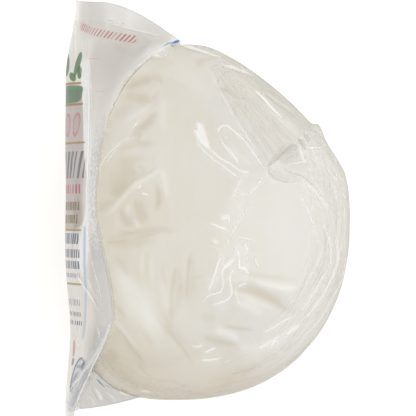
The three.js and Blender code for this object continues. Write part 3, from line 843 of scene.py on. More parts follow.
def clear_of_neighbours(points, inset=0.0):
    """Keeps points behind the printed film and above the floor, and lifts them to their place."""
    points[:, 0] = np.maximum(points[:, 0], behind_film(points[:, 1], points[:, 2]) + inset)
    points[:, 2] = np.maximum(points[:, 2] + AXIS_Z, inset)
    return points


def gathered(direction, towards, gather, reach):
    """Draws directions together round one of them, for closer facets there."""
    towards = np.array(towards) / np.linalg.norm(towards)
    near = bell(np.linalg.norm(direction - towards, axis=1), reach)[:, None]
    moved = direction + (towards - direction) * gather * near
    return moved / np.linalg.norm(moved, axis=1)[:, None]


def film_form(direction):
    """The clear film, drawn tight over the ball."""
    points = flatten(plain_ball(direction))
    lift = FILM_FOLDS * soft_folds(points, direction) + pleat_height(points, direction)
    lift += fine_creases(points)
    return clear_of_neighbours(points + direction * lift[:, None])


def cheese_form(direction):
    """The cheese, just inside the film."""
    points = flatten(plain_ball(direction))
    lift = np.minimum(CHEESE_FOLDS * soft_folds(points, direction), CHEESE_RISE) - CHEESE_INSET
    return clear_of_neighbours(points + direction * lift[:, None], CHEESE_INSET)


# ---- meshes ----
def set_points(mesh, points):
    mesh.vertices.foreach_set("co", (points * UNIT).astype(np.float32).ravel())
    mesh.update()


def get_points(mesh):
    flat = np.zeros(len(mesh.vertices) * 3, np.float32)
    mesh.vertices.foreach_get("co", flat)
    return flat.reshape(-1, 3).astype(float)


def new_object(name, data):
    made = bpy.data.objects.new(name, data)
    bpy.context.scene.collection.objects.link(made)
    return made


def new_piece(name, mesh, material):
    """A piece that rides on the pack's one body, smooth all over."""
    piece = new_object(name, mesh)
    mesh.materials.append(material)
    mesh.shade_smooth()
    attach(piece, "root")
    return piece


def mesh_from(bm, name):
    mesh = bpy.data.meshes.new(name)
    bm.to_mesh(mesh)
    bm.free()
    return mesh


def set_uv(mesh, name, values):
    """Gives every vertex of a mesh a place in a map of its own."""
    layer = mesh.uv_layers.new(name=name)
    corners = np.zeros(len(mesh.loops), np.int32)
    mesh.loops.foreach_get("vertex_index", corners)
    layer.data.foreach_set("uv", values[corners].astype(np.float32).ravel())


def set_share(mesh, name, values):
    layer = mesh.attributes.new(name, "FLOAT", "POINT")
    layer.data.foreach_set("value", values.astype(np.float32))


def sheet_mesh(name, grid):
    """A flat sheet: its mesh, and where its points lie across it (-1 to 1) and up it (0 to 1)."""
    bm = bmesh.new()
    bmesh.ops.create_grid(bm, x_segments=grid[0], y_segments=grid[1], size=1.0)
    mesh = mesh_from(bm, name)
    flat = get_points(mesh)
    return mesh, flat[:, 0], (flat[:, 1] + 1.0) / 2.0


def ball_piece(name, form, cuts, material):
    """A closed skin of the given form, from a finely divided cube blown up round."""
    bm = bmesh.new()
    bmesh.ops.create_cube(bm, size=2.0)
    bmesh.ops.subdivide_edges(bm, edges=bm.edges[:], cuts=cuts, use_grid_fill=True)
    mesh = mesh_from(bm, name)
    direction = np.tan(get_points(mesh) * math.pi / 4.0)
    direction /= np.linalg.norm(direction, axis=1)[:, None]
    direction = gathered(direction, SHOWN_SIDE, *GATHER)
    points = form(direction)
    set_points(mesh, points)
    return new_piece(name, mesh, material), points - np.array((0.0, 0.0, AXIS_Z)), direction


def clear_film():
    film, points, _ = ball_piece("clear_film", film_form, FILM_CUTS, clear_film_material())
    bearing, distance, fan = fan_map(points)
    set_uv(film.data, "fan_map", np.stack((bearing, distance), axis=1) / MAP_SCALE)
    set_share(film.data, "fan_share", fan)
    bearing, outward, rim = rim_map(points)
    set_uv(film.data, "rim_map", np.stack((outward - RIM_TWIST * bearing, bearing / MAP_SCALE), axis=1))
    set_share(film.data, "rim_share", rim)
    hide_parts("wrapped_ball")
    return film


def cheese_ball():
    made = ball_piece("cheese_ball", cheese_form, CHEESE_CUTS, cheese_material())
    cheese, points, direction = made
    set_share(cheese.data, "fold_height", soft_folds(points, direction))
    set_share(cheese.data, "fold_shade", strokes_felt(points, CHEESE_SHADES))
    set_share(cheese.data, "ridge_light", strokes_felt(points, PAINTED_LIGHT_STROKES))
    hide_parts("wrapped_ball")


def film_waves(across, height, from_bottom):
    """Small waves of the printed film: slack over its face, drawn into pleats at its bottom corners."""
    places = np.stack((across * EDGE_Z, height, np.zeros(len(height))), axis=1)
    margin = ramp(*MARGIN_FROM, np.abs(across))
    upright = noise_at(places, *UPRIGHT_WAVES) * lerp(*UPRIGHT_HEIGHT, margin)
    broad = noise_at(places, *BROAD_WAVES) * BROAD_HEIGHT
    from_side = (1.0 - np.abs(across)) * EDGE_Z
    pleats = np.sin(math.tau * (from_side / CORNER_PLEAT_PITCH - height / CORNER_PLEAT_TWIST))
    gathered_in = CORNER_PLEATS * pleats * ramp(*PLEATS_DOWN, height) * ramp(*PLEATS_IN, from_side)
    held = ramp(*HELD_SIDE, np.abs(across)) * ramp(*HELD_FOOT, from_bottom)
    return held * (upright + broad + gathered_in)


def printed_film():
    """The printed film as one sheet, with maps in millimetres: over the front, and from the seal's edges."""
    mesh, across, up = sheet_mesh("printed_film", FILM_GRID)
    points = film_points(across, up)
    bottom, top = film_span(across)
    height = lerp(bottom, top, up)
    set_uv(mesh, "print_map", np.stack((across * EDGE_Z, height), axis=1) / MAP_SCALE)
    from_side = (1.0 - np.abs(across)) * EDGE_Z
    set_uv(mesh, "seal_map", np.stack((from_side, top - height), axis=1) / MAP_SCALE)
    points[:, 0] += film_waves(across, height, height - bottom)
    set_points(mesh, points)
    sheet = new_piece("printed_film", mesh, printed_film_material())
    thin_wall(sheet, PRINTED_THICKNESS)
    lets_light_by(sheet)
    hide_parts("label_film")
    return sheet


class Surface:
    """Finds the place on finished pieces that lies under a pixel of the plan, and the way out of it."""

    def __init__(self, *pieces):
        corners, faces = [], []
        for piece in pieces:
            first = len(corners)
            corners += [vertex.co[:] for vertex in piece.data.vertices]
            faces += [[first + k for k in polygon.vertices] for polygon in piece.data.polygons]
        self.tree = BVHTree.FromPolygons(corners, faces)
        self.last_height = AXIS_Z * UNIT

    def under(self, pixel, side=1.0):
        """From above the pack for side 1, from below it for side -1."""
        eye = Vector((PLAN_X, PLAN_Y, AXIS_Z + side * PLAN_HEIGHT)) * UNIT
        x, y = plan_mm(pixel)
        aim = Vector((x, y, AXIS_Z)) * UNIT
        place, normal, _, _ = self.tree.ray_cast(eye, aim - eye)
        if place is None:
            share = (self.last_height - eye.z) / (aim.z - eye.z)
            place, normal, _, _ = self.tree.find_nearest(eye.lerp(aim, share))
        self.last_height = place.z
        if normal.dot(eye - place) < 0.0:
            normal = -normal
        return place / UNIT, normal


class Level:
    """The same for a flat place in the air, at one height over the floor."""

    def __init__(self, height):
        self.height = height

    def under(self, pixel):
        share = (PLAN_HEIGHT + AXIS_Z - self.height) / PLAN_HEIGHT
        x, y = plan_mm(pixel)
        return Vector((lerp(PLAN_X, x, share), lerp(PLAN_Y, y, share), self.height)), Vector((0.0, 0.0, 1.0))


def strip_grid(bm, layer, surface, pixels, density, lift, columns, widen, crown):
    """One strip over a surface: a smooth line of pixels with half widths, highest along its middle."""
    line = smooth_path(pixels, STRIP_STEPS)
    line[:, 2] *= widen
    run = np.gradient(line[:, :2], axis=0)
    run /= np.linalg.norm(run, axis=1)[:, None] + 1e-9
    legs = len(line) - 1
    made = bmesh.ops.create_grid(bm, x_segments=columns, y_segments=legs, size=1.0)["verts"]
    spots, marks = {}, {}
    for vertex in made:
        side = vertex.co.x
        step = int(round((vertex.co.y + 1.0) / 2.0 * legs))
        half = line[step, 2] * side
        pixel = (line[step, 0] - run[step, 1] * half, line[step, 1] + run[step, 0] * half)
        spots[round(side, 3), step] = (vertex, *surface.under(pixel))
    for (side, step), (vertex, place, outward) in spots.items():
        before = spots[side, max(step - 1, 0)][1]
        after = spots[side, min(step + 1, legs)][1]
        swell = min(crown, STRIP_SLOPE * line[step, 2] * PIXEL) * (1.0 - side * side)
        vertex.co = ((before + 2.0 * place + after) / 4.0 + outward * (lift + swell)) * UNIT
        marks[vertex] = (side, density * float(ends_fade(step / legs, STRIP_ENDS)), outward)
    for face in {face for vertex in made for face in vertex.link_faces}:
        face.normal_update()
        if face.normal.dot(marks[face.verts[0]][2]) < 0.0:
            face.normal_flip()
        for loop in face.loops:
            loop[layer].uv = marks[loop.vert][:2]


def lay_strips(name, surface, strokes, lift, material, columns=4, widen=1.0, crown=STRIP_CROWN):
    """Thin strips lying on a piece, each with its own density: folded film, ink, painted highlights and
    painted shade.
    """
    bm = bmesh.new()
    layer = bm.loops.layers.uv.new("strip_map")
    for pixels, density in strokes:
        strip_grid(bm, layer, surface, pixels, density, lift, columns, widen, crown)
    piece = new_piece(name, mesh_from(bm, name), material)
    lets_light_by(piece)
    return piece


def lets_light_by(piece):
    """Film this thin shades nothing that lies behind it."""
    piece.visible_shadow = False
    piece.visible_diffuse = False


def thin_wall(piece, thickness):
    wall = piece.modifiers.new("wall", "SOLIDIFY")
    wall.thickness = thickness * UNIT
    wall.offset = -1.0


def tapered(shares, spots, widest):
    """The points of a line with half widths, thin at its ends."""
    halves = (THINNEST + widest * math.sin(math.pi * share) for share in shares)
    return tuple((x, y, half) for (x, y), half in zip(spots, halves))


def fan_lines(rng):
    """Long fine creases that run out from the fan's apex, bending with the outline."""
    lines = []
    for k in range(FAN_LINES):
        bearing = lerp(*FAN_BEARINGS, (k + rng.random()) / FAN_LINES)
        start = lerp(FAN_REACH[0], FAN_LAST_START, math.sqrt(rng.random()))
        end = rng.uniform(start + FAN_SHORTEST, FAN_REACH[1])
        bend = rng.uniform(*FAN_BEND)
        widest = rng.uniform(*FAN_WIDEST)
        spots = []
        for share in FAN_SHARES:
            turned = math.radians(bearing + bend * share * share)
            distance = lerp(start, end, share) / PIXEL
            x = FAN_APEX[0] + distance * math.cos(turned)
            spots.append((x, FAN_APEX[1] - distance * math.sin(turned)))
        lines.append((tapered(FAN_SHARES, spots, widest), rng.uniform(*FAN_DENSITY)))
    return lines


def rim_lines(rng, count, bearings, lengths, inner):
    """Short fine creases that run round the far end or the bottom, crossing a little."""
    lines = []
    for k in range(count):
        start = lerp(*bearings, (k + rng.random()) / count)
        length = rng.uniform(*lengths)
        outward = lerp(inner, RIM_OUTER, rng.random() ** RIM_CROWDING)
        drift = rng.uniform(*RIM_DRIFT)
        widest = rng.uniform(*RIM_WIDEST)
        spots = []
        for share in RIM_SHARES:
            bearing = math.radians(start - length * share)
            reach = min(outward + drift * share, RIM_LIMIT)
            length_x = BACK_LENGTH if math.cos(bearing) > 0.0 else FRONT_LENGTH
            x = WIDEST_X + reach * length_x * math.cos(bearing)
            spots.append(plan_pixel(x, reach * RADIUS_Y * math.sin(bearing)))
        lines.append((tapered(RIM_SHARES, spots, widest), rng.uniform(*RIM_DENSITY)))
    return lines


def crinkles(rng):
    """Short crossing creases of the gathered film beside the pleat."""
    lines = []
    for _ in range(CRINKLES):
        x, y = rng.uniform(*CRINKLE_X), rng.uniform(*CRINKLE_Y)
        turned = math.radians(rng.gauss(*CRINKLE_TURN))
        reach = rng.uniform(*CRINKLE_REACH)
        bend = rng.uniform(*CRINKLE_BEND)
        step = (math.cos(turned) * reach, math.sin(turned) * reach)
        side = (-math.sin(turned) * bend, math.cos(turned) * bend)
        points = ((x - step[0], y - step[1], CRINKLE_ENDS[0]),
                  (x + side[0], y + side[1], rng.uniform(*CRINKLE_WIDEST)),
                  (x + step[0], y + step[1], CRINKLE_ENDS[1]))
        lines.append((points, rng.uniform(*CRINKLE_DENSITY)))
    return lines


def crease_pieces(surface):
    """Creases of the clear film where it lies folded on itself, laid on as strips of painted highlight,
    painted sheen, haze and painted shade.
    """
    rng = random.Random(CREASE_SEED)
    fan, rim, short = fan_lines(rng), rim_lines(rng, *RIM_LINES), crinkles(rng)
    foot = rim_lines(rng, *FOOT_LINES)
    lit = fan[::3] + rim[::2] + short
    shaded = fan[1::3] + fan[2::3] + rim[1::2] + foot
    glint = strip_material("film_glint", GLINT, GLINT_CORE)
    haze = strip_material("film_haze", HAZE)
    sheen = strip_material("film_sheen", GLINT, 0.0)
    fold = strip_material("film_fold_shade", FOLD_SHADE, 0.0)
    soft_fold = strip_material("film_soft_fold_shade", SOFT_FOLD_SHADE, 0.0)
    # Film highlights and fine creases are painted highlights, sheen patches are painted sheen, and shade
    # creases and fine fold shades are painted shade.
    # name, strokes, lift off the film (mm), material, columns of cells, how much wider than laid out
    for name, strokes, lift, material, columns, widen in (
        ("film_highlights", FILM_HIGHLIGHTS, 0.2, glint, 4, 1.2),
        ("fine_creases", lit, 0.11, glint, 2, 1.0),
        ("folded_film", HAZY_CREASES, 0.06, haze, 4, 1.0),
        ("film_sheen_patches", SHEEN_PATCHES, 0.04, sheen, 4, 1.0),
        ("shade_creases", SHADE_CREASES, 0.15, fold, 4, 1.5),
        ("fine_fold_shades", shaded, 0.08, soft_fold, 2, 2.2),
    ):
        lay_strips(name, surface, strokes, lift, material, columns, widen)


def print_pieces(surface):
    """Creases of the printed film with painted highlights and painted shade on them, its roll and its folded
    tip.
    """
    glint = strip_material("seal_glint", GLINT)
    fold = strip_material("seal_line_and_shade", SEAL_SHADE, 0.0)
    blue = strip_material("folded_tip", TIP_BLUE)
    rope = strip_material("film_rope", ROPE_GREY, ROPE_CORE)
    lay_strips("film_rope", surface, FILM_ROPE, ROPE_LIFT, rope,
               ROPE_COLUMNS, crown=ROPE_CROWN)
    # name, strokes, lift off the film (mm), material
    for name, strokes, lift, material in (
        ("rope_highlights", ROPE_HIGHLIGHTS, 0.6, glint),
        ("seal_crease_highlights", SEAL_GLINTS, 0.14, glint),
        ("seal_lines_and_shade", SEAL_LINES_AND_SHADES, 0.06, fold),
        ("flange_fold_shades", FLANGE_SHADES, 0.4, fold),
        ("flange_crease_highlights", FLANGE_GLINTS, 0.5, glint),
        ("flange_ink", FLANGE_INK, 0.6, blue),
    ):
        lay_strips(name, surface, strokes, lift, material)
    tip = lay_strips("corner_tip", Level(TIP_HEIGHT), CORNER_TIP, TIP_LIFT, blue)
    thin_wall(tip, TIP_THICKNESS)


def rim_width(places):
    """How far the clear film stands past the printed film, torn uneven."""
    along = np.outer(places, (1.0, 0.0, 0.0))
    width = np.full(len(places), RIM_WIDTH)
    for height, length, seed in TORN_NOISE:
        width += height * noise_at(along, (length, 1.0, 1.0), seed)
    for place, reach, wide in TORN_TABS:
        width += reach * bell(places - place, wide)
    return np.maximum(width, RIM_LEAST)


def seal_rim(name, side, film_surface):
    """The torn edge of the clear film past the side of the printed film, lying down on the ball."""
    mesh, out, up = sheet_mesh(name, RIM_GRID)
    out = (out + 1.0) / 2.0
    column = 1.0 / RIM_GRID[0]
    one = np.full(len(up), side)
    edge = film_points(one, up)
    inner = film_points(one * RIM_UNDER, up)
    onward = edge - inner
    onward /= np.linalg.norm(onward, axis=1)[:, None]
    above, below = np.minimum(up + RIM_STEP, 1.0), np.maximum(up - RIM_STEP, 0.0)
    run = film_points(one, above) - film_points(one, below)
    reach = np.clip((out - column) / (1.0 - column), 0.0, 1.0) * rim_width(edge[:, 1])
    points = edge + onward * reach[:, None]
    for k in np.nonzero(out >= 1.5 * column)[0]:
        across = Vector((run[k, 1], -run[k, 0])).normalized()
        x, y = plan_of_one(edge[k])
        pixel = plan_pixel(x + across.x * reach[k], y + across.y * reach[k])
        place, outward = film_surface.under(pixel, side)
        points[k] = edge[k] + np.array((across.x, across.y, 0.0)) * reach[k]
        place = np.array(place + outward * RIM_CLEAR)
        place[2] = max(place[2] * side, (edge[k, 2] + RIM_RISE * side * reach[k]) * side) * side
        gap = np.linalg.norm(place - points[k])
        points[k] = lerp(points[k], place, float(ramp(*RIM_BRIDGE, gap)))
    tucked = out < 0.5 * column
    points[tucked] = inner[tucked] + np.array((RIM_TUCK, 0.0, 0.0))
    set_uv(mesh, "rim_edge_map", np.stack((out, edge[:, 1] / MAP_SCALE), axis=1))
    set_points(mesh, points)
    bm = bmesh.new()
    bm.from_mesh(mesh)
    bmesh.ops.recalc_face_normals(bm, faces=bm.faces[:])
    bm.to_mesh(mesh)
    bm.free()
    piece = new_piece(name, mesh, seal_rim_material())
    lets_light_by(piece)
    return piece


# ---- materials ----
# Colours.
WHITE = (1.0, 1.0, 1.0, 1.0)
# Painted highlight and sheen white (also the torn film's crumpled white), the haze of layered film, and
# painted shade for the film's folds and streaks.
GLINT = (0.88, 0.87, 0.845, 1.0)
HAZE = (0.64, 0.63, 0.59, 1.0)
FOLD_SHADE = (0.53, 0.50, 0.435, 1.0)
SOFT_FOLD_SHADE = (0.58, 0.535, 0.44, 1.0)
SEAL_SHADE = (0.42, 0.43, 0.44, 1.0)
TIP_BLUE = (0.09, 0.21, 0.48, 1.0)
# Cheese: painted shade in its folds, hollows and low end, painted light on its ridges, and the dark and pale
# ends of its random tone, which also paint shade and light across it.
CHEESE_SHADE = (0.595, 0.53, 0.40, 1.0)
CHEESE_PAINTED_LIGHT = (0.88, 0.87, 0.83, 1.0)
CHEESE_PAINTED_SHADE = (0.60, 0.53, 0.41, 1.0)
CHEESE_DARK_AND_SHADED = (0.725, 0.68, 0.575, 1.0)
CHEESE_PALE_AND_LIT = (0.775, 0.755, 0.712, 1.0)
FROST = (0.80, 0.775, 0.735, 1.0)
FROST_DARK = (0.60, 0.575, 0.54, 1.0)
FROST_LIGHT = (0.91, 0.905, 0.895, 1.0)
FROST_COOL = (0.735, 0.725, 0.715, 1.0)
CRACK_GREY = (0.40, 0.40, 0.40, 1.0)
EMBOSS_SHADE = (0.60, 0.58, 0.545, 1.0)
ROPE_GREY = (0.43, 0.435, 0.44, 1.0)
# Painted shade at the ball's outline: what the clear film lets through where it is seen along its surface.
OUTLINE_SHADE = (0.68, 0.655, 0.60, 1.0)

# A ramp is the range that is read and then the range that it becomes, 0 to 1 where that isn't given.
# Streaks have a fineness along each axis and a detail; bumps have a strength and a depth in metres.
CLOUD_SCALE = 45.0
CLOUD_DETAIL = 5.0
THREADS = ((420.0, 60.0, 420.0), 2.0)
THREAD_SHARE = 0.35
# Painted light towards the far side, the grain of the random tone, painted shade in the hollows and painted
# light on the swells of the folds, and painted shade at the low end.
LIT_SIDE_RAMP = (-0.03, 0.03)
GRAIN_RAMP = (0.5, 0.85, -0.3, 0.3)
HOLLOW_SHADE_RAMP = (-0.1, -0.85, 0.0, 0.4)
SWELL_LIGHT_RAMP = (0.2, 1.0, 0.0, 0.4)
LOW_END_SHADE_RAMP = (-0.034, -0.052, 0.0, 0.8)
CHEESE_BUMP = (0.25, 0.0004)
CHEESE_ROUGHNESS = 0.45
GLOW_WEIGHT = 0.3
GLOW_RADIUS = (1.0, 0.85, 0.6)
GLOW_DEPTH = 0.002

DRAWN_FILM = ((55.0, 5.0, 1.0), 3.0)
CLEAR_BUMP = (0.5, 0.0005)
# Share of light that the clear film reflects: seen straight on and along its surface.
FILM_SHINE = (0.045, 0.2)
SHINE_POWER = 5.0
OUTLINE_SHADE_POWER = 3.5
FILM_ROUGHNESS = 0.09
# Painted shade along the streaks of the fan: its ramp and roughness.
FAN_SHADE_RAMP = (0.42, 0.7, 0.0, 0.2)
FAN_SHADE_ROUGHNESS = 0.4

# Share of a strip's half width that is fully cloudy.
STRIP_CORE = 0.45
GLINT_CORE = 0.3
ROPE_CORE = 0.1
STRIP_ROUGHNESS = 0.3

CRUMPLES = ((2.0, 160.0, 1.0), 3.0)
CRUMPLE_RAMP = (0.35, 0.65)
RIM_CRUMPLED = 0.7
RIM_COVER_RAMP = (0.75, 0.35, 0.0, 0.92)
RIM_TORN_RAMP = (0.88, 0.97, 0.0, 0.6)
RIM_SEEN_RAMP = (0.2, 0.34, 0.3)
RIM_GREY_RAMP = (-0.24, -0.32)
RIM_ROUGHNESS = 0.25

DASH_STRETCH = (0.6, 1.3)


def new_material(name):
    material = bpy.data.materials.new(name)
    material.use_nodes = True
    material.node_tree.nodes.clear()
    return material, material.node_tree


def finished(material, shader):
    """The material with its shader in place."""
    add(material.node_tree, "ShaderNodeOutputMaterial", {"Surface": shader})
    return material


def add(tree, kind, values=None, **settings):
    """A node with its settings; a value that is a socket is linked, any other is set."""
    made = tree.nodes.new(kind)
    for name, setting in settings.items():
        setattr(made, name, setting)
    for key, value in (values or {}).items():
        if isinstance(value, bpy.types.NodeSocket):
            tree.links.new(value, made.inputs[key])
        else:
            made.inputs[key].default_value = value
    return made


def maths(tree, operation, first, second=0.0, clamp=False):
    return add(tree, "ShaderNodeMath", {0: first, 1: second}, operation=operation, use_clamp=clamp).outputs[0]


def vector_maths(tree, operation, first, second):
    return add(tree, "ShaderNodeVectorMath", {0: first, 1: second}, operation=operation).outputs[0]


def times(tree, first, second):
    return maths(tree, "MULTIPLY", first, second)


def apart(tree, value, middle):
    """How far a value is from a middle one."""
    return maths(tree, "ABSOLUTE", maths(tree, "SUBTRACT", value, middle))


def spread(tree, value, low, high, to_low=0.0, to_high=1.0):
    values = {"Value": value, "From Min": low, "From Max": high, "To Min": to_low, "To Max": to_high}
    return add(tree, "ShaderNodeMapRange", values).outputs["Result"]


def blend(tree, share, under, over):
    """One colour laid over another by a share."""
    values = {"Factor": share, "A": under, "B": over}
    return add(tree, "ShaderNodeMix", values, data_type="RGBA").outputs["Result"]


def layered(tree, share, under, over):
    """One shader laid over another by a share."""
    return add(tree, "ShaderNodeMixShader", {0: share, 1: under, 2: over}).outputs[0]


def axes_of(tree, place):
    return add(tree, "ShaderNodeSeparateXYZ", {0: place}).outputs


def map_of(tree, name):
    return add(tree, "ShaderNodeUVMap", uv_map=name).outputs[0]


def share_of(tree, name):
    return add(tree, "ShaderNodeAttribute", attribute_name=name).outputs["Fac"]


def bumped(tree, strength, distance, height):
    values = {"Strength": strength, "Distance": distance, "Height": height}
    return add(tree, "ShaderNodeBump", values).outputs[0]


def plain(tree, colour, roughness, **values):
    """A plain surface of one colour; any other value is given by its label with underlines."""
    values = {label.replace("_", " "): value for label, value in values.items()}
    values.update({"Base Color": colour, "Roughness": roughness})
    return add(tree, "ShaderNodeBsdfPrincipled", values).outputs[0]


def clouded(tree, share, colour, roughness):
    """A see-through surface that turns to one plain colour by a share; it carries cloudy film, ink, painted
    highlights and painted shade.
    """
    see_through = add(tree, "ShaderNodeBsdfTransparent").outputs[0]
    return layered(tree, share, see_through, plain(tree, colour, roughness))


def node_group(name, inputs, output):
    """An empty node group, what it is given, and the socket that takes its one result."""
    group = bpy.data.node_groups.new(name, "ShaderNodeTree")
    for label, kind in inputs:
        group.interface.new_socket(label, in_out="INPUT", socket_type="NodeSocket" + kind)
    group.interface.new_socket(output, in_out="OUTPUT", socket_type="NodeSocketFloat")
    given = group.nodes.new("NodeGroupInput").outputs
    return group, given, group.nodes.new("NodeGroupOutput").inputs[output]


def use_group(tree, group, values):
    return add(tree, "ShaderNodeGroup", values, node_tree=group).outputs[0]


def shape_group(name, knobs):
    """A node group for a printed shape, with the map from the shape's middle: plain and in half sizes."""
    inputs = [("Map", "Vector"), ("Middle", "Vector"), ("Size", "Vector"), ("Turn", "Float")]
    group, given, mask = node_group(name, inputs + [(knob, "Float") for knob in knobs], "Mask")
    values = {"Vector": given["Map"], "Center": given["Middle"], "Angle": given["Turn"]}
    turned = add(group, "ShaderNodeVectorRotate", values, rotation_type="Z_AXIS").outputs[0]
    place = vector_maths(group, "SUBTRACT", turned, given["Middle"])
    return group, given, mask, place, vector_maths(group, "DIVIDE", place, given["Size"])


def ink_group():
    """A printed shape: an oval at squareness 2, a rounded box above; softness blurs its edge."""
    group, given, mask, _, shared = shape_group("ink_shape", ("Squareness", "Softness"))
    axes = axes_of(group, shared)
    parts = []
    for axis in ("X", "Y"):
        parts.append(maths(group, "POWER", maths(group, "ABSOLUTE", axes[axis]), given["Squareness"]))
    total = maths(group, "ADD", *parts)
    outside = maths(group, "ADD", 1.0, given["Softness"])
    inside = maths(group, "SUBTRACT", 1.0, given["Softness"])
    group.links.new(spread(group, total, outside, inside), mask)
    return group


def dash_group():
    """A row of printed dashes inside a box, of uneven lengths, leaning by their slant."""
    group, given, mask, place, shared = shape_group("ink_dashes", ("Pitch", "Share", "Slant"))
    inside, axes = axes_of(group, shared), axes_of(group, place)
    along = maths(group, "SUBTRACT", axes["X"], times(group, axes["Y"], given["Slant"]))
    steps = maths(group, "DIVIDE", along, given["Pitch"])
    uneven = add(group, "ShaderNodeTexWhiteNoise", {"W": maths(group, "FLOOR", steps)}, noise_dimensions="1D")
    stretch = spread(group, uneven.outputs["Value"], 0.0, 1.0, *DASH_STRETCH)
    length = times(group, given["Share"], stretch)
    dash = maths(group, "LESS_THAN", maths(group, "FRACT", steps), length)
    for axis in ("X", "Y"):
        within = maths(group, "LESS_THAN", maths(group, "ABSOLUTE", inside[axis]), 1.0)
        dash = times(group, dash, within)
    group.links.new(dash, mask)
    return group


def emboss_group():
    """A fine square grid of raised dots."""
    group, given, height = node_group("emboss_dots", (("Map", "Vector"), ("Pitch", "Float")), "Height")
    axes = axes_of(group, given["Map"])
    waves = []
    for axis in ("X", "Y"):
        turns = times(group, maths(group, "DIVIDE", axes[axis], given["Pitch"]), math.tau)
        waves.append(maths(group, "SINE", turns))
    group.links.new(spread(group, times(group, *waves), -1.0, 1.0), height)
    return group


def streak_group():
    """Fine creases drawn out along one way of a map."""
    inputs = (("Map", "Vector"), ("Fineness", "Vector"), ("Detail", "Float"))
    group, given, height = node_group("drawn_creases", inputs, "Height")
    drawn = vector_maths(group, "MULTIPLY", given["Map"], given["Fineness"])
    values = {"Vector": drawn, "Scale": 1.0, "Detail": given["Detail"]}
    group.links.new(add(group, "ShaderNodeTexNoise", values).outputs[0], height)
    return group


INK = ink_group()
DASHES = dash_group()
EMBOSSING = emboss_group()
STREAKS = streak_group()


def streaks_of(tree, place, fineness, detail):
    return use_group(tree, STREAKS, {"Map": place, "Fineness": fineness, "Detail": detail})


def cheese_material():
    """Soft moist cheese with a random tone, painted shade, deeper and yellower, in its folds and at its low
    end, and painted light on its ridges and towards the far end.
    """
    material, tree = new_material("mozzarella")
    place = add(tree, "ShaderNodeTexCoord").outputs["Object"]
    axes = axes_of(tree, place)
    values = {"Vector": place, "Scale": CLOUD_SCALE, "Detail": CLOUD_DETAIL}
    clouds = add(tree, "ShaderNodeTexNoise", values).outputs[0]
    threads = streaks_of(tree, place, *THREADS)
    grain = maths(tree, "ADD", clouds, times(tree, threads, THREAD_SHARE))
    # Painted light towards the far side and painted shade towards the front, mixed with the random tone.
    lit_side = spread(tree, axes["X"], *LIT_SIDE_RAMP)
    share = maths(tree, "ADD", lit_side, spread(tree, grain, *GRAIN_RAMP), clamp=True)
    colour = blend(tree, share, CHEESE_DARK_AND_SHADED, CHEESE_PALE_AND_LIT)
    folds = share_of(tree, "fold_height")
    # Painted shade in the hollows of the folds, and painted light on their swells.
    colour = blend(tree, spread(tree, folds, *HOLLOW_SHADE_RAMP), colour, CHEESE_PAINTED_SHADE)
    colour = blend(tree, spread(tree, folds, *SWELL_LIGHT_RAMP), colour, CHEESE_PALE_AND_LIT)
    # Painted shade and painted light of the cheese, laid in by strokes.
    for name, tint in (("fold_shade", CHEESE_SHADE), ("ridge_light", CHEESE_PAINTED_LIGHT)):
        colour = blend(tree, share_of(tree, name), colour, tint)
    # Painted shade at the low end of the ball.
    colour = blend(tree, spread(tree, axes["Y"], *LOW_END_SHADE_RAMP), colour, CHEESE_PAINTED_SHADE)
    surface = plain(tree, colour, CHEESE_ROUGHNESS, Normal=bumped(tree, *CHEESE_BUMP, grain),
                    Subsurface_Weight=GLOW_WEIGHT, Subsurface_Radius=GLOW_RADIUS, Subsurface_Scale=GLOW_DEPTH)
    return finished(material, surface)


def clear_film_material():
    """Clear film: seen through, with a gloss that grows towards its outline, painted shade where it is seen
    along its surface, and painted shade along the streaks of its fan.
    """
    material, tree = new_material("clear_film")
    drawn_out = []
    for name in ("fan", "rim"):
        streaks = streaks_of(tree, map_of(tree, name + "_map"), *DRAWN_FILM)
        drawn_out.append(times(tree, streaks, share_of(tree, name + "_share")))
    bump = bumped(tree, *CLEAR_BUMP, maths(tree, "ADD", *drawn_out))
    slant = add(tree, "ShaderNodeLayerWeight", {"Blend": 0.5, "Normal": bump}).outputs["Facing"]
    # Painted shade at the ball's outline, laid on what the film lets through.
    through = blend(tree, maths(tree, "POWER", slant, OUTLINE_SHADE_POWER), WHITE, OUTLINE_SHADE)
    see_through = add(tree, "ShaderNodeBsdfTransparent", {"Color": through}).outputs[0]
    gloss = add(tree, "ShaderNodeBsdfGlossy", {"Roughness": FILM_ROUGHNESS, "Normal": bump}).outputs[0]
    shine = spread(tree, maths(tree, "POWER", slant, SHINE_POWER), 0.0, 1.0, *FILM_SHINE)
    # Painted shade along the fan's streaks.
    fan_shade = plain(tree, SOFT_FOLD_SHADE, FAN_SHADE_ROUGHNESS)
    film = layered(tree, spread(tree, drawn_out[0], *FAN_SHADE_RAMP), see_through, fan_shade)
    return finished(material, layered(tree, shine, film, gloss))


def strip_material(name, colour, core=STRIP_CORE):
    """A strip's colour, for folded film, ink, painted highlights and painted shade: cloudy over its core,
    clearing smoothly towards its sides.
    """
    material, tree = new_material(name)
    axes = axes_of(tree, map_of(tree, "strip_map"))
    values = {"Value": maths(tree, "ABSOLUTE", axes["X"]), "From Min": 1.0, "From Max": core}
    sides = add(tree, "ShaderNodeMapRange", values, interpolation_type="SMOOTHSTEP").outputs["Result"]
    return finished(material, clouded(tree, times(tree, sides, axes["Y"]), colour, STRIP_ROUGHNESS))


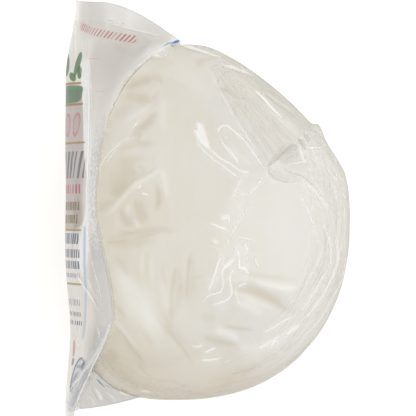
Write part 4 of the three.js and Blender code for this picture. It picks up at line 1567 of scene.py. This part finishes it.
def seal_rim_material():
    """Torn clear film, crumpled white in places, partly painted highlight, and made cloudy and pale over the
    crevice along the printed film's edge: painted light that covers the crevice's shade.
    """
    material, tree = new_material("torn_film")
    place = map_of(tree, "rim_edge_map")
    axes = axes_of(tree, place)
    uneven = spread(tree, streaks_of(tree, place, *CRUMPLES), *CRUMPLE_RAMP)
    # The band along the printed film's edge is painted light that covers the crevice's shade.
    held = spread(tree, axes["X"], *RIM_COVER_RAMP)
    torn = spread(tree, axes["X"], *RIM_TORN_RAMP)
    edges = maths(tree, "MAXIMUM", held, torn)
    share = maths(tree, "MAXIMUM", times(tree, uneven, RIM_CRUMPLED), edges)
    share = times(tree, share, spread(tree, axes["Y"], *RIM_SEEN_RAMP))
    colour = blend(tree, uneven, FROST, GLINT)
    colour = blend(tree, spread(tree, axes["Y"], *RIM_GREY_RAMP), colour, ROPE_GREY)
    return finished(material, clouded(tree, share, colour, RIM_ROUGHNESS))


# Printed shapes in millimetres over the front: on one side or mirrored to both, middle, half size, turn
# (degrees clockwise), squareness, softness of the border, colour, strength. Most soft ones are painted light
# and painted shade: lighter along the crease and the margins, darker over the wing, the bottom margin and the
# strip; the cool one is the far flange's own colour, and the dark one highest up stands for a knurled column.
ONE, BOTH = 0, 1
LILAC = (0.59, 0.525, 0.505, 1.0)
GREEN = (0.15, 0.28, 0.16, 1.0)
LEAF_GREEN = (0.09, 0.22, 0.05, 1.0)
GOLD = (0.42, 0.27, 0.09, 1.0)
BRONZE = (0.26, 0.165, 0.045, 1.0)
RED = (0.56, 0.06, 0.09, 1.0)
PINK = (0.60, 0.22, 0.25, 1.0)
SLATE = (0.16, 0.18, 0.23, 1.0)
NAVY = (0.05, 0.09, 0.21, 1.0)
SKY = (0.42, 0.56, 0.72, 1.0)
GREY_PANEL = (0.52, 0.49, 0.50, 1.0)
SHARP = 0.1
PRINTED_SHAPES = (
    (ONE, (0.0, 18.0), (30.5, 20.0), 0, 8.0, SHARP, LILAC, 0.85),
    (BOTH, (32.0, -1.5), (3.6, 13.0), 26, 6.0, SHARP, FROST_LIGHT, 0.9),
    (BOTH, (33.2, 32.1), (6.5, 20.0), -27, 8.0, SHARP, FROST, 1.0),
    (BOTH, (25.6, 28.2), (2.6, 20.0), -27, 6.0, 0.3, FROST_LIGHT, 0.9),
    (BOTH, (34.5, 8.0), (5.5, 17.0), 0, 2.0, 0.8, FROST_LIGHT, 0.85),
    (BOTH, (31.8, 3.0), (1.5, 9.0), 0, 2.0, 0.5, FROST_LIGHT, 0.95),
    (ONE, (37.0, -37.0), (6.0, 7.0), 0, 2.0, 0.8, FROST_DARK, 0.7),
    (ONE, (32.5, -35.0), (5.0, 6.0), 0, 2.0, 0.9, FROST_DARK, 0.5),
    (BOTH, (25.5, 47.5), (7.5, 7.0), 0, 2.0, 0.9, FROST_DARK, 0.25),
    (BOTH, (16.5, 59.5), (6.0, 6.5), 0, 2.0, 0.8, FROST_DARK, 0.5),
    (ONE, (-36.0, -49.0), (7.0, 10.0), 0, 4.0, 0.4, FROST_COOL, 0.9),
    (ONE, (22.0, 4.0), (1.6, 14.0), 14, 2.0, 0.8, SEAL_SHADE, 0.3),
    (ONE, (24.0, 1.6), (3.2, 5.0), 14, 2.0, 0.8, BRONZE, 0.2),
    (ONE, (14.0, 31.2), (6.5, 1.8), 0, 6.0, 0.3, FROST_DARK, 0.55),
    (BOTH, (34.5, 45.5), (5.5, 12.0), 0, 2.0, 0.9, FROST_DARK, 0.42),
    (BOTH, (38.0, -20.0), (4.0, 17.0), 0, 2.0, 0.9, FROST_LIGHT, 0.85),
    (ONE, (0.0, 36.4), (18.6, 2.6), 0, 6.0, SHARP, GREEN, 0.85),
    (ONE, (0.0, 39.5), (16.8, 0.35), 0, 8.0, SHARP, GOLD, 0.85),
    (ONE, (0.0, 33.4), (20.4, 0.35), 0, 8.0, SHARP, GOLD, 0.85),
    (ONE, (-15.0, 45.5), (3.4, 2.6), 20, 2.0, SHARP, LEAF_GREEN, 0.8),
    (ONE, (-6.0, 47.0), (4.6, 2.2), -30, 2.0, SHARP, GREEN, 0.8),
    (ONE, (4.0, 45.0), (4.0, 2.8), 35, 2.0, SHARP, LEAF_GREEN, 0.8),
    (ONE, (13.2, 45.0), (1.5, 3.6), 14, 2.0, SHARP, GREEN, 0.85),
    (ONE, (15.0, 42.6), (1.2, 2.0), -25, 2.0, SHARP, LEAF_GREEN, 0.8),
    (ONE, (11.0, 41.4), (2.6, 1.1), 18, 2.0, SHARP, LEAF_GREEN, 0.8),
    (ONE, (0.0, 22.4), (26.6, 0.3), 0, 8.0, SHARP, GOLD, 0.85),
    (ONE, (18.0, 27.6), (2.9, 3.5), 0, 2.0, SHARP, PINK, 0.7),
    (ONE, (18.0, 27.6), (2.0, 2.6), 0, 2.0, SHARP, LILAC, 1.0),
    (ONE, (9.5, 27.6), (3.4, 3.5), 0, 2.0, SHARP, PINK, 0.7),
    (ONE, (9.5, 27.6), (2.4, 2.6), 0, 2.0, SHARP, LILAC, 1.0),
    (ONE, (-13.0, 27.6), (8.0, 1.2), 0, 4.0, SHARP, PINK, 0.7),
    (ONE, (0.0, -2.2), (27.0, 0.28), 0, 8.0, SHARP, GOLD, 0.85),
    (ONE, (0.0, -25.0), (20.0, 8.5), 0, 8.0, SHARP, GREY_PANEL, 0.06),
    (ONE, (0.0, -17.4), (27.0, 0.28), 0, 8.0, SHARP, GOLD, 0.85),
    (ONE, (-22.0, -36.0), (8.0, 3.0), 0, 6.0, SHARP, RED, 0.6),
    (ONE, (16.2, -35.6), (1.2, 2.3), -12, 4.0, SHARP, RED, 0.55),
    (ONE, (24.8, -42.8), (4.9, 4.9), 0, 2.0, SHARP, NAVY, 0.75),
    (ONE, (25.3, -42.2), (3.8, 3.8), 0, 2.0, SHARP, FROST_COOL, 0.9),
    (ONE, (24.4, -43.6), (2.4, 1.3), -35, 2.0, SHARP, NAVY, 0.4),
    (ONE, (25.0, -40.4), (2.4, 0.45), 0, 4.0, SHARP, NAVY, 0.4),
    (ONE, (28.4, -40.2), (1.6, 1.1), 20, 2.0, SHARP, NAVY, 0.9),
    (ONE, (17.2, -39.4), (1.4, 1.0), 0, 4.0, SHARP, NAVY, 0.6),
    (BOTH, (29.7, -10.5), (0.8, 9.5), 0, 8.0, 0.3, SKY, 0.6),
    (ONE, (26.8, -26.3), (0.75, 7.0), 22, 8.0, 0.3, SKY, 0.55),
)
# Rows of dashes: side, middle, half size, turn (degrees clockwise), pitch, share inked, slant, colour.
PRINTED_DASHES = (
    (ONE, (3.0, 16.2), (25.7, 3.8), 0, 4.2, 0.5, 0.25, SLATE),
    (ONE, (4.0, 9.4), (24.0, 1.3), 0, 3.0, 0.42, 0.0, RED),
    (ONE, (2.0, 4.6), (23.5, 1.2), 0, 2.2, 0.7, 0.1, BRONZE),
    (ONE, (1.0, 0.9), (23.0, 1.2), 0, 2.4, 0.7, -0.1, BRONZE),
    (ONE, (6.0, -4.6), (19.0, 1.5), 0, 2.2, 0.62, 0.3, NAVY),
    (ONE, (6.0, -8.8), (20.0, 1.2), 0, 1.9, 0.58, 0.2, NAVY),
    (ONE, (6.0, -12.0), (20.0, 1.1), 0, 2.3, 0.58, -0.2, NAVY),
    (ONE, (6.0, -15.0), (20.0, 0.6), 0, 1.6, 0.45, 0.1, SLATE),
    (ONE, (6.0, -22.6), (17.5, 0.9), 0, 1.9, 0.28, 0.2, NAVY),
    (ONE, (6.0, -25.9), (17.5, 0.6), 0, 1.5, 0.5, 0.0, SLATE),
    (ONE, (6.0, -28.4), (17.5, 0.6), 0, 2.1, 0.45, 0.1, NAVY),
    (BOTH, (21.5, 53.7), (10.0, 1.05), 13, 1.1, 0.3, 0.45, RED),
)
# In the print map one unit is 100 mm.
PRINT_STREAKS = ((60.0, 9.0, 1.0), 4.0)
STREAK_RAMP = (0.3, 0.7, 0.0, 0.4)
SEALED_RAMP = (0.085, 0.065)
TOP_BAND_RAMP = (0.056, 0.052)
TOP_BAND_FROST = 0.6
EMBOSS_PITCH = 0.0095
EMBOSS_DEPTH = 0.9
COLUMN_MIDDLE = 0.25
COLUMN_RAMP = (0.045, 0.03)
COLUMN_UP_RAMP = (0.26, 0.32, 0.0, 0.32)
KNURL_MIDDLE = -0.24
KNURL_RAMP = (0.22, 0.15)
CRACK_SCALE = 120.0
CRACK_STRETCH = (1.0, 0.55, 1.0)
CRACK_RAMP = (0.2, 0.03)
CRACK_DEPTH = 0.5
CRACKLE_MIDDLE = 0.08
CRACKLE_RAMP = (0.24, 0.12)
DASH_STRENGTH = 0.85
PRINT_BUMP = (0.5, 0.0002)
PRINT_ROUGHNESS = 0.28
PRINT_GLOW = 0.45


def in_map(pair, third=0.0):
    """Millimetres over the front as the print map holds them."""
    return (pair[0] / MAP_SCALE, pair[1] / MAP_SCALE, third)


def layered_print(tree, place, under):
    """The printed colours, with painted light and painted shade among them, laid over the bare film one after
    another.
    """
    axes = axes_of(tree, place)
    folded = {"X": maths(tree, "ABSOLUTE", axes["X"]), "Y": axes["Y"]}
    maps = (place, add(tree, "ShaderNodeCombineXYZ", folded).outputs[0])
    colour = under

    def inked(group, sides, middle, size, turn, knobs, ink, strength):
        values = {"Map": maps[sides], "Middle": in_map(middle), "Size": in_map(size, 1.0)}
        mask = use_group(tree, group, {**values, "Turn": math.radians(turn), **knobs})
        return blend(tree, times(tree, mask, strength), colour, ink)

    for sides, middle, size, turn, squareness, softness, ink, strength in PRINTED_SHAPES:
        knobs = {"Squareness": squareness, "Softness": softness}
        colour = inked(INK, sides, middle, size, turn, knobs, ink, strength)
    for sides, middle, size, turn, pitch, share, slant, ink in PRINTED_DASHES:
        knobs = {"Pitch": pitch / MAP_SCALE, "Share": share, "Slant": slant}
        colour = inked(DASHES, sides, middle, size, turn, knobs, ink, DASH_STRENGTH)
    return colour


def embossed(tree, place, sealed):
    """The raised dots: in the sealed margins, and faintly in two columns near the top."""
    dots = use_group(tree, EMBOSSING, {"Map": place, "Pitch": EMBOSS_PITCH})
    axes = axes_of(tree, place)
    from_column = apart(tree, maths(tree, "ABSOLUTE", axes["X"]), COLUMN_MIDDLE)
    column = times(tree, spread(tree, from_column, *COLUMN_RAMP), spread(tree, axes["Y"], *COLUMN_UP_RAMP))
    knurl = spread(tree, apart(tree, axes["Y"], KNURL_MIDDLE), *KNURL_RAMP)
    return times(tree, dots, maths(tree, "MAXIMUM", times(tree, sealed, knurl), column))


def crackled(tree, place, sealed):
    """The net of fine cracks in the middle of the sealed margins."""
    drawn = vector_maths(tree, "MULTIPLY", place, CRACK_STRETCH)
    values = {"Vector": drawn, "Scale": CRACK_SCALE}
    net = add(tree, "ShaderNodeTexVoronoi", values, feature="DISTANCE_TO_EDGE").outputs["Distance"]
    from_crackle = apart(tree, axes_of(tree, place)["Y"], CRACKLE_MIDDLE)
    crackle = times(tree, spread(tree, from_crackle, *CRACKLE_RAMP), sealed)
    return times(tree, spread(tree, net, *CRACK_RAMP), crackle)


def printed_film_material():
    """Frosted film with print on its face and painted light and shade among the print, embossed where it is
    sealed, paler along its top.
    """
    material, tree = new_material("printed_film")
    place = map_of(tree, "print_map")
    edges = axes_of(tree, map_of(tree, "seal_map"))
    streaks = streaks_of(tree, place, *PRINT_STREAKS)
    frost = blend(tree, spread(tree, streaks, *STREAK_RAMP), FROST, FROST_LIGHT)
    sealed = spread(tree, edges["X"], *SEALED_RAMP)
    dotted, cracks = embossed(tree, place, sealed), crackled(tree, place, sealed)
    top_band = spread(tree, edges["Y"], *TOP_BAND_RAMP)
    frost = blend(tree, times(tree, top_band, TOP_BAND_FROST), frost, FROST_LIGHT)
    colour = layered_print(tree, place, frost)
    colour = blend(tree, times(tree, dotted, EMBOSS_DEPTH), colour, EMBOSS_SHADE)
    colour = blend(tree, times(tree, cracks, CRACK_DEPTH), colour, CRACK_GREY)
    bump = bumped(tree, *PRINT_BUMP, maths(tree, "ADD", dotted, streaks))
    surface = plain(tree, colour, PRINT_ROUGHNESS, Normal=bump)
    glow = add(tree, "ShaderNodeBsdfTranslucent", {"Color": colour}).outputs[0]
    return finished(material, layered(tree, PRINT_GLOW, surface, glow))


# ---- stage ----
# The floor is a lit white sheet.
FLOOR_SIZE = 3.0
FLOOR_WHITE = (0.95, 0.95, 0.95, 1.0)
FLOOR_GLOW = 0.2
FLOOR_ROUGHNESS = 0.9
# Lit sheets that face the ball (m, W): place, width, height, power, whether it shows in the film's gloss.
LIGHTS = {
    "top_end": ((0.2, 1.0, 0.75), 0.9, 0.5, 1.2, False),
    "low_end": ((0.0, -1.0, 0.95), 0.9, 0.6, 0.8, False),
    "over": ((0.3, 0.1, 1.4), 0.8, 0.8, 1.0, False),
    "back_side": ((1.1, -0.15, 0.72), 1.0, 0.9, 2.5, True),
    "front_side": ((-1.0, 0.1, 0.8), 1.2, 1.0, 1.6, False),
}
# Brightness of the room round the pack: at the level of the floor and overhead.
ROOM_LOW = 0.58
ROOM_HIGH = 0.95
# Width of the camera's sensor (mm).
SENSOR = 36.0


def floor_material():
    material, tree = new_material("floor")
    glow = {"Emission_Color": FLOOR_WHITE, "Emission_Strength": FLOOR_GLOW}
    return finished(material, plain(tree, FLOOR_WHITE, FLOOR_ROUGHNESS, **glow))


def build_floor():
    bm = bmesh.new()
    bmesh.ops.create_grid(bm, x_segments=2, y_segments=2, size=FLOOR_SIZE)
    mesh = mesh_from(bm, "floor")
    mesh.materials.append(floor_material())
    new_object("floor", mesh)


def soft_light(name, place, width, height, power, seen):
    data = bpy.data.lights.new(name, "AREA")
    data.shape = "RECTANGLE"
    data.size = width
    data.size_y = height
    data.energy = power
    lamp = new_object(name, data)
    lamp.visible_glossy = seen
    lamp.location = place
    middle = Vector((0.0, 0.0, AXIS_Z * UNIT))
    lamp.rotation_euler = (middle - Vector(place)).to_track_quat("-Z", "Y").to_euler()


def build_lights():
    for name, light in LIGHTS.items():
        soft_light(name, *light)
    world = bpy.data.worlds.new("studio")
    world.use_nodes = True
    tree = world.node_tree
    way = axes_of(tree, add(tree, "ShaderNodeTexCoord").outputs["Generated"])
    room = spread(tree, way["Z"], 0.0, 1.0, ROOM_LOW, ROOM_HIGH)
    background = tree.nodes["Background"]
    background.inputs["Color"].default_value = WHITE
    tree.links.new(room, background.inputs["Strength"])
    bpy.context.scene.world = world


def build_camera():
    """Straight down on the pack, from the height that the plan is drawn from."""
    data = bpy.data.cameras.new("camera")
    data.sensor_width = SENSOR
    data.lens = SENSOR * PLAN_HEIGHT / (FRAME_PIXELS * PIXEL)
    camera = new_object("camera", data)
    x, y = plan_mm((FRAME_PIXELS / 2, FRAME_PIXELS / 2))
    camera.location = (x * UNIT, y * UNIT, (AXIS_Z + PLAN_HEIGHT) * UNIT)
    bpy.context.scene.camera = camera
    bpy.context.scene.view_settings.view_transform = "Standard"


def build_pack():
    cheese_ball()
    film = clear_film()
    surface = Surface(film)
    crease_pieces(surface)
    near_rim = seal_rim("near_seal_rim", 1.0, surface)
    seal_rim("far_seal_rim", -1.0, surface)
    print_pieces(Surface(printed_film(), near_rim, film))


build_camera()
build_pack()
build_floor()
build_lights()
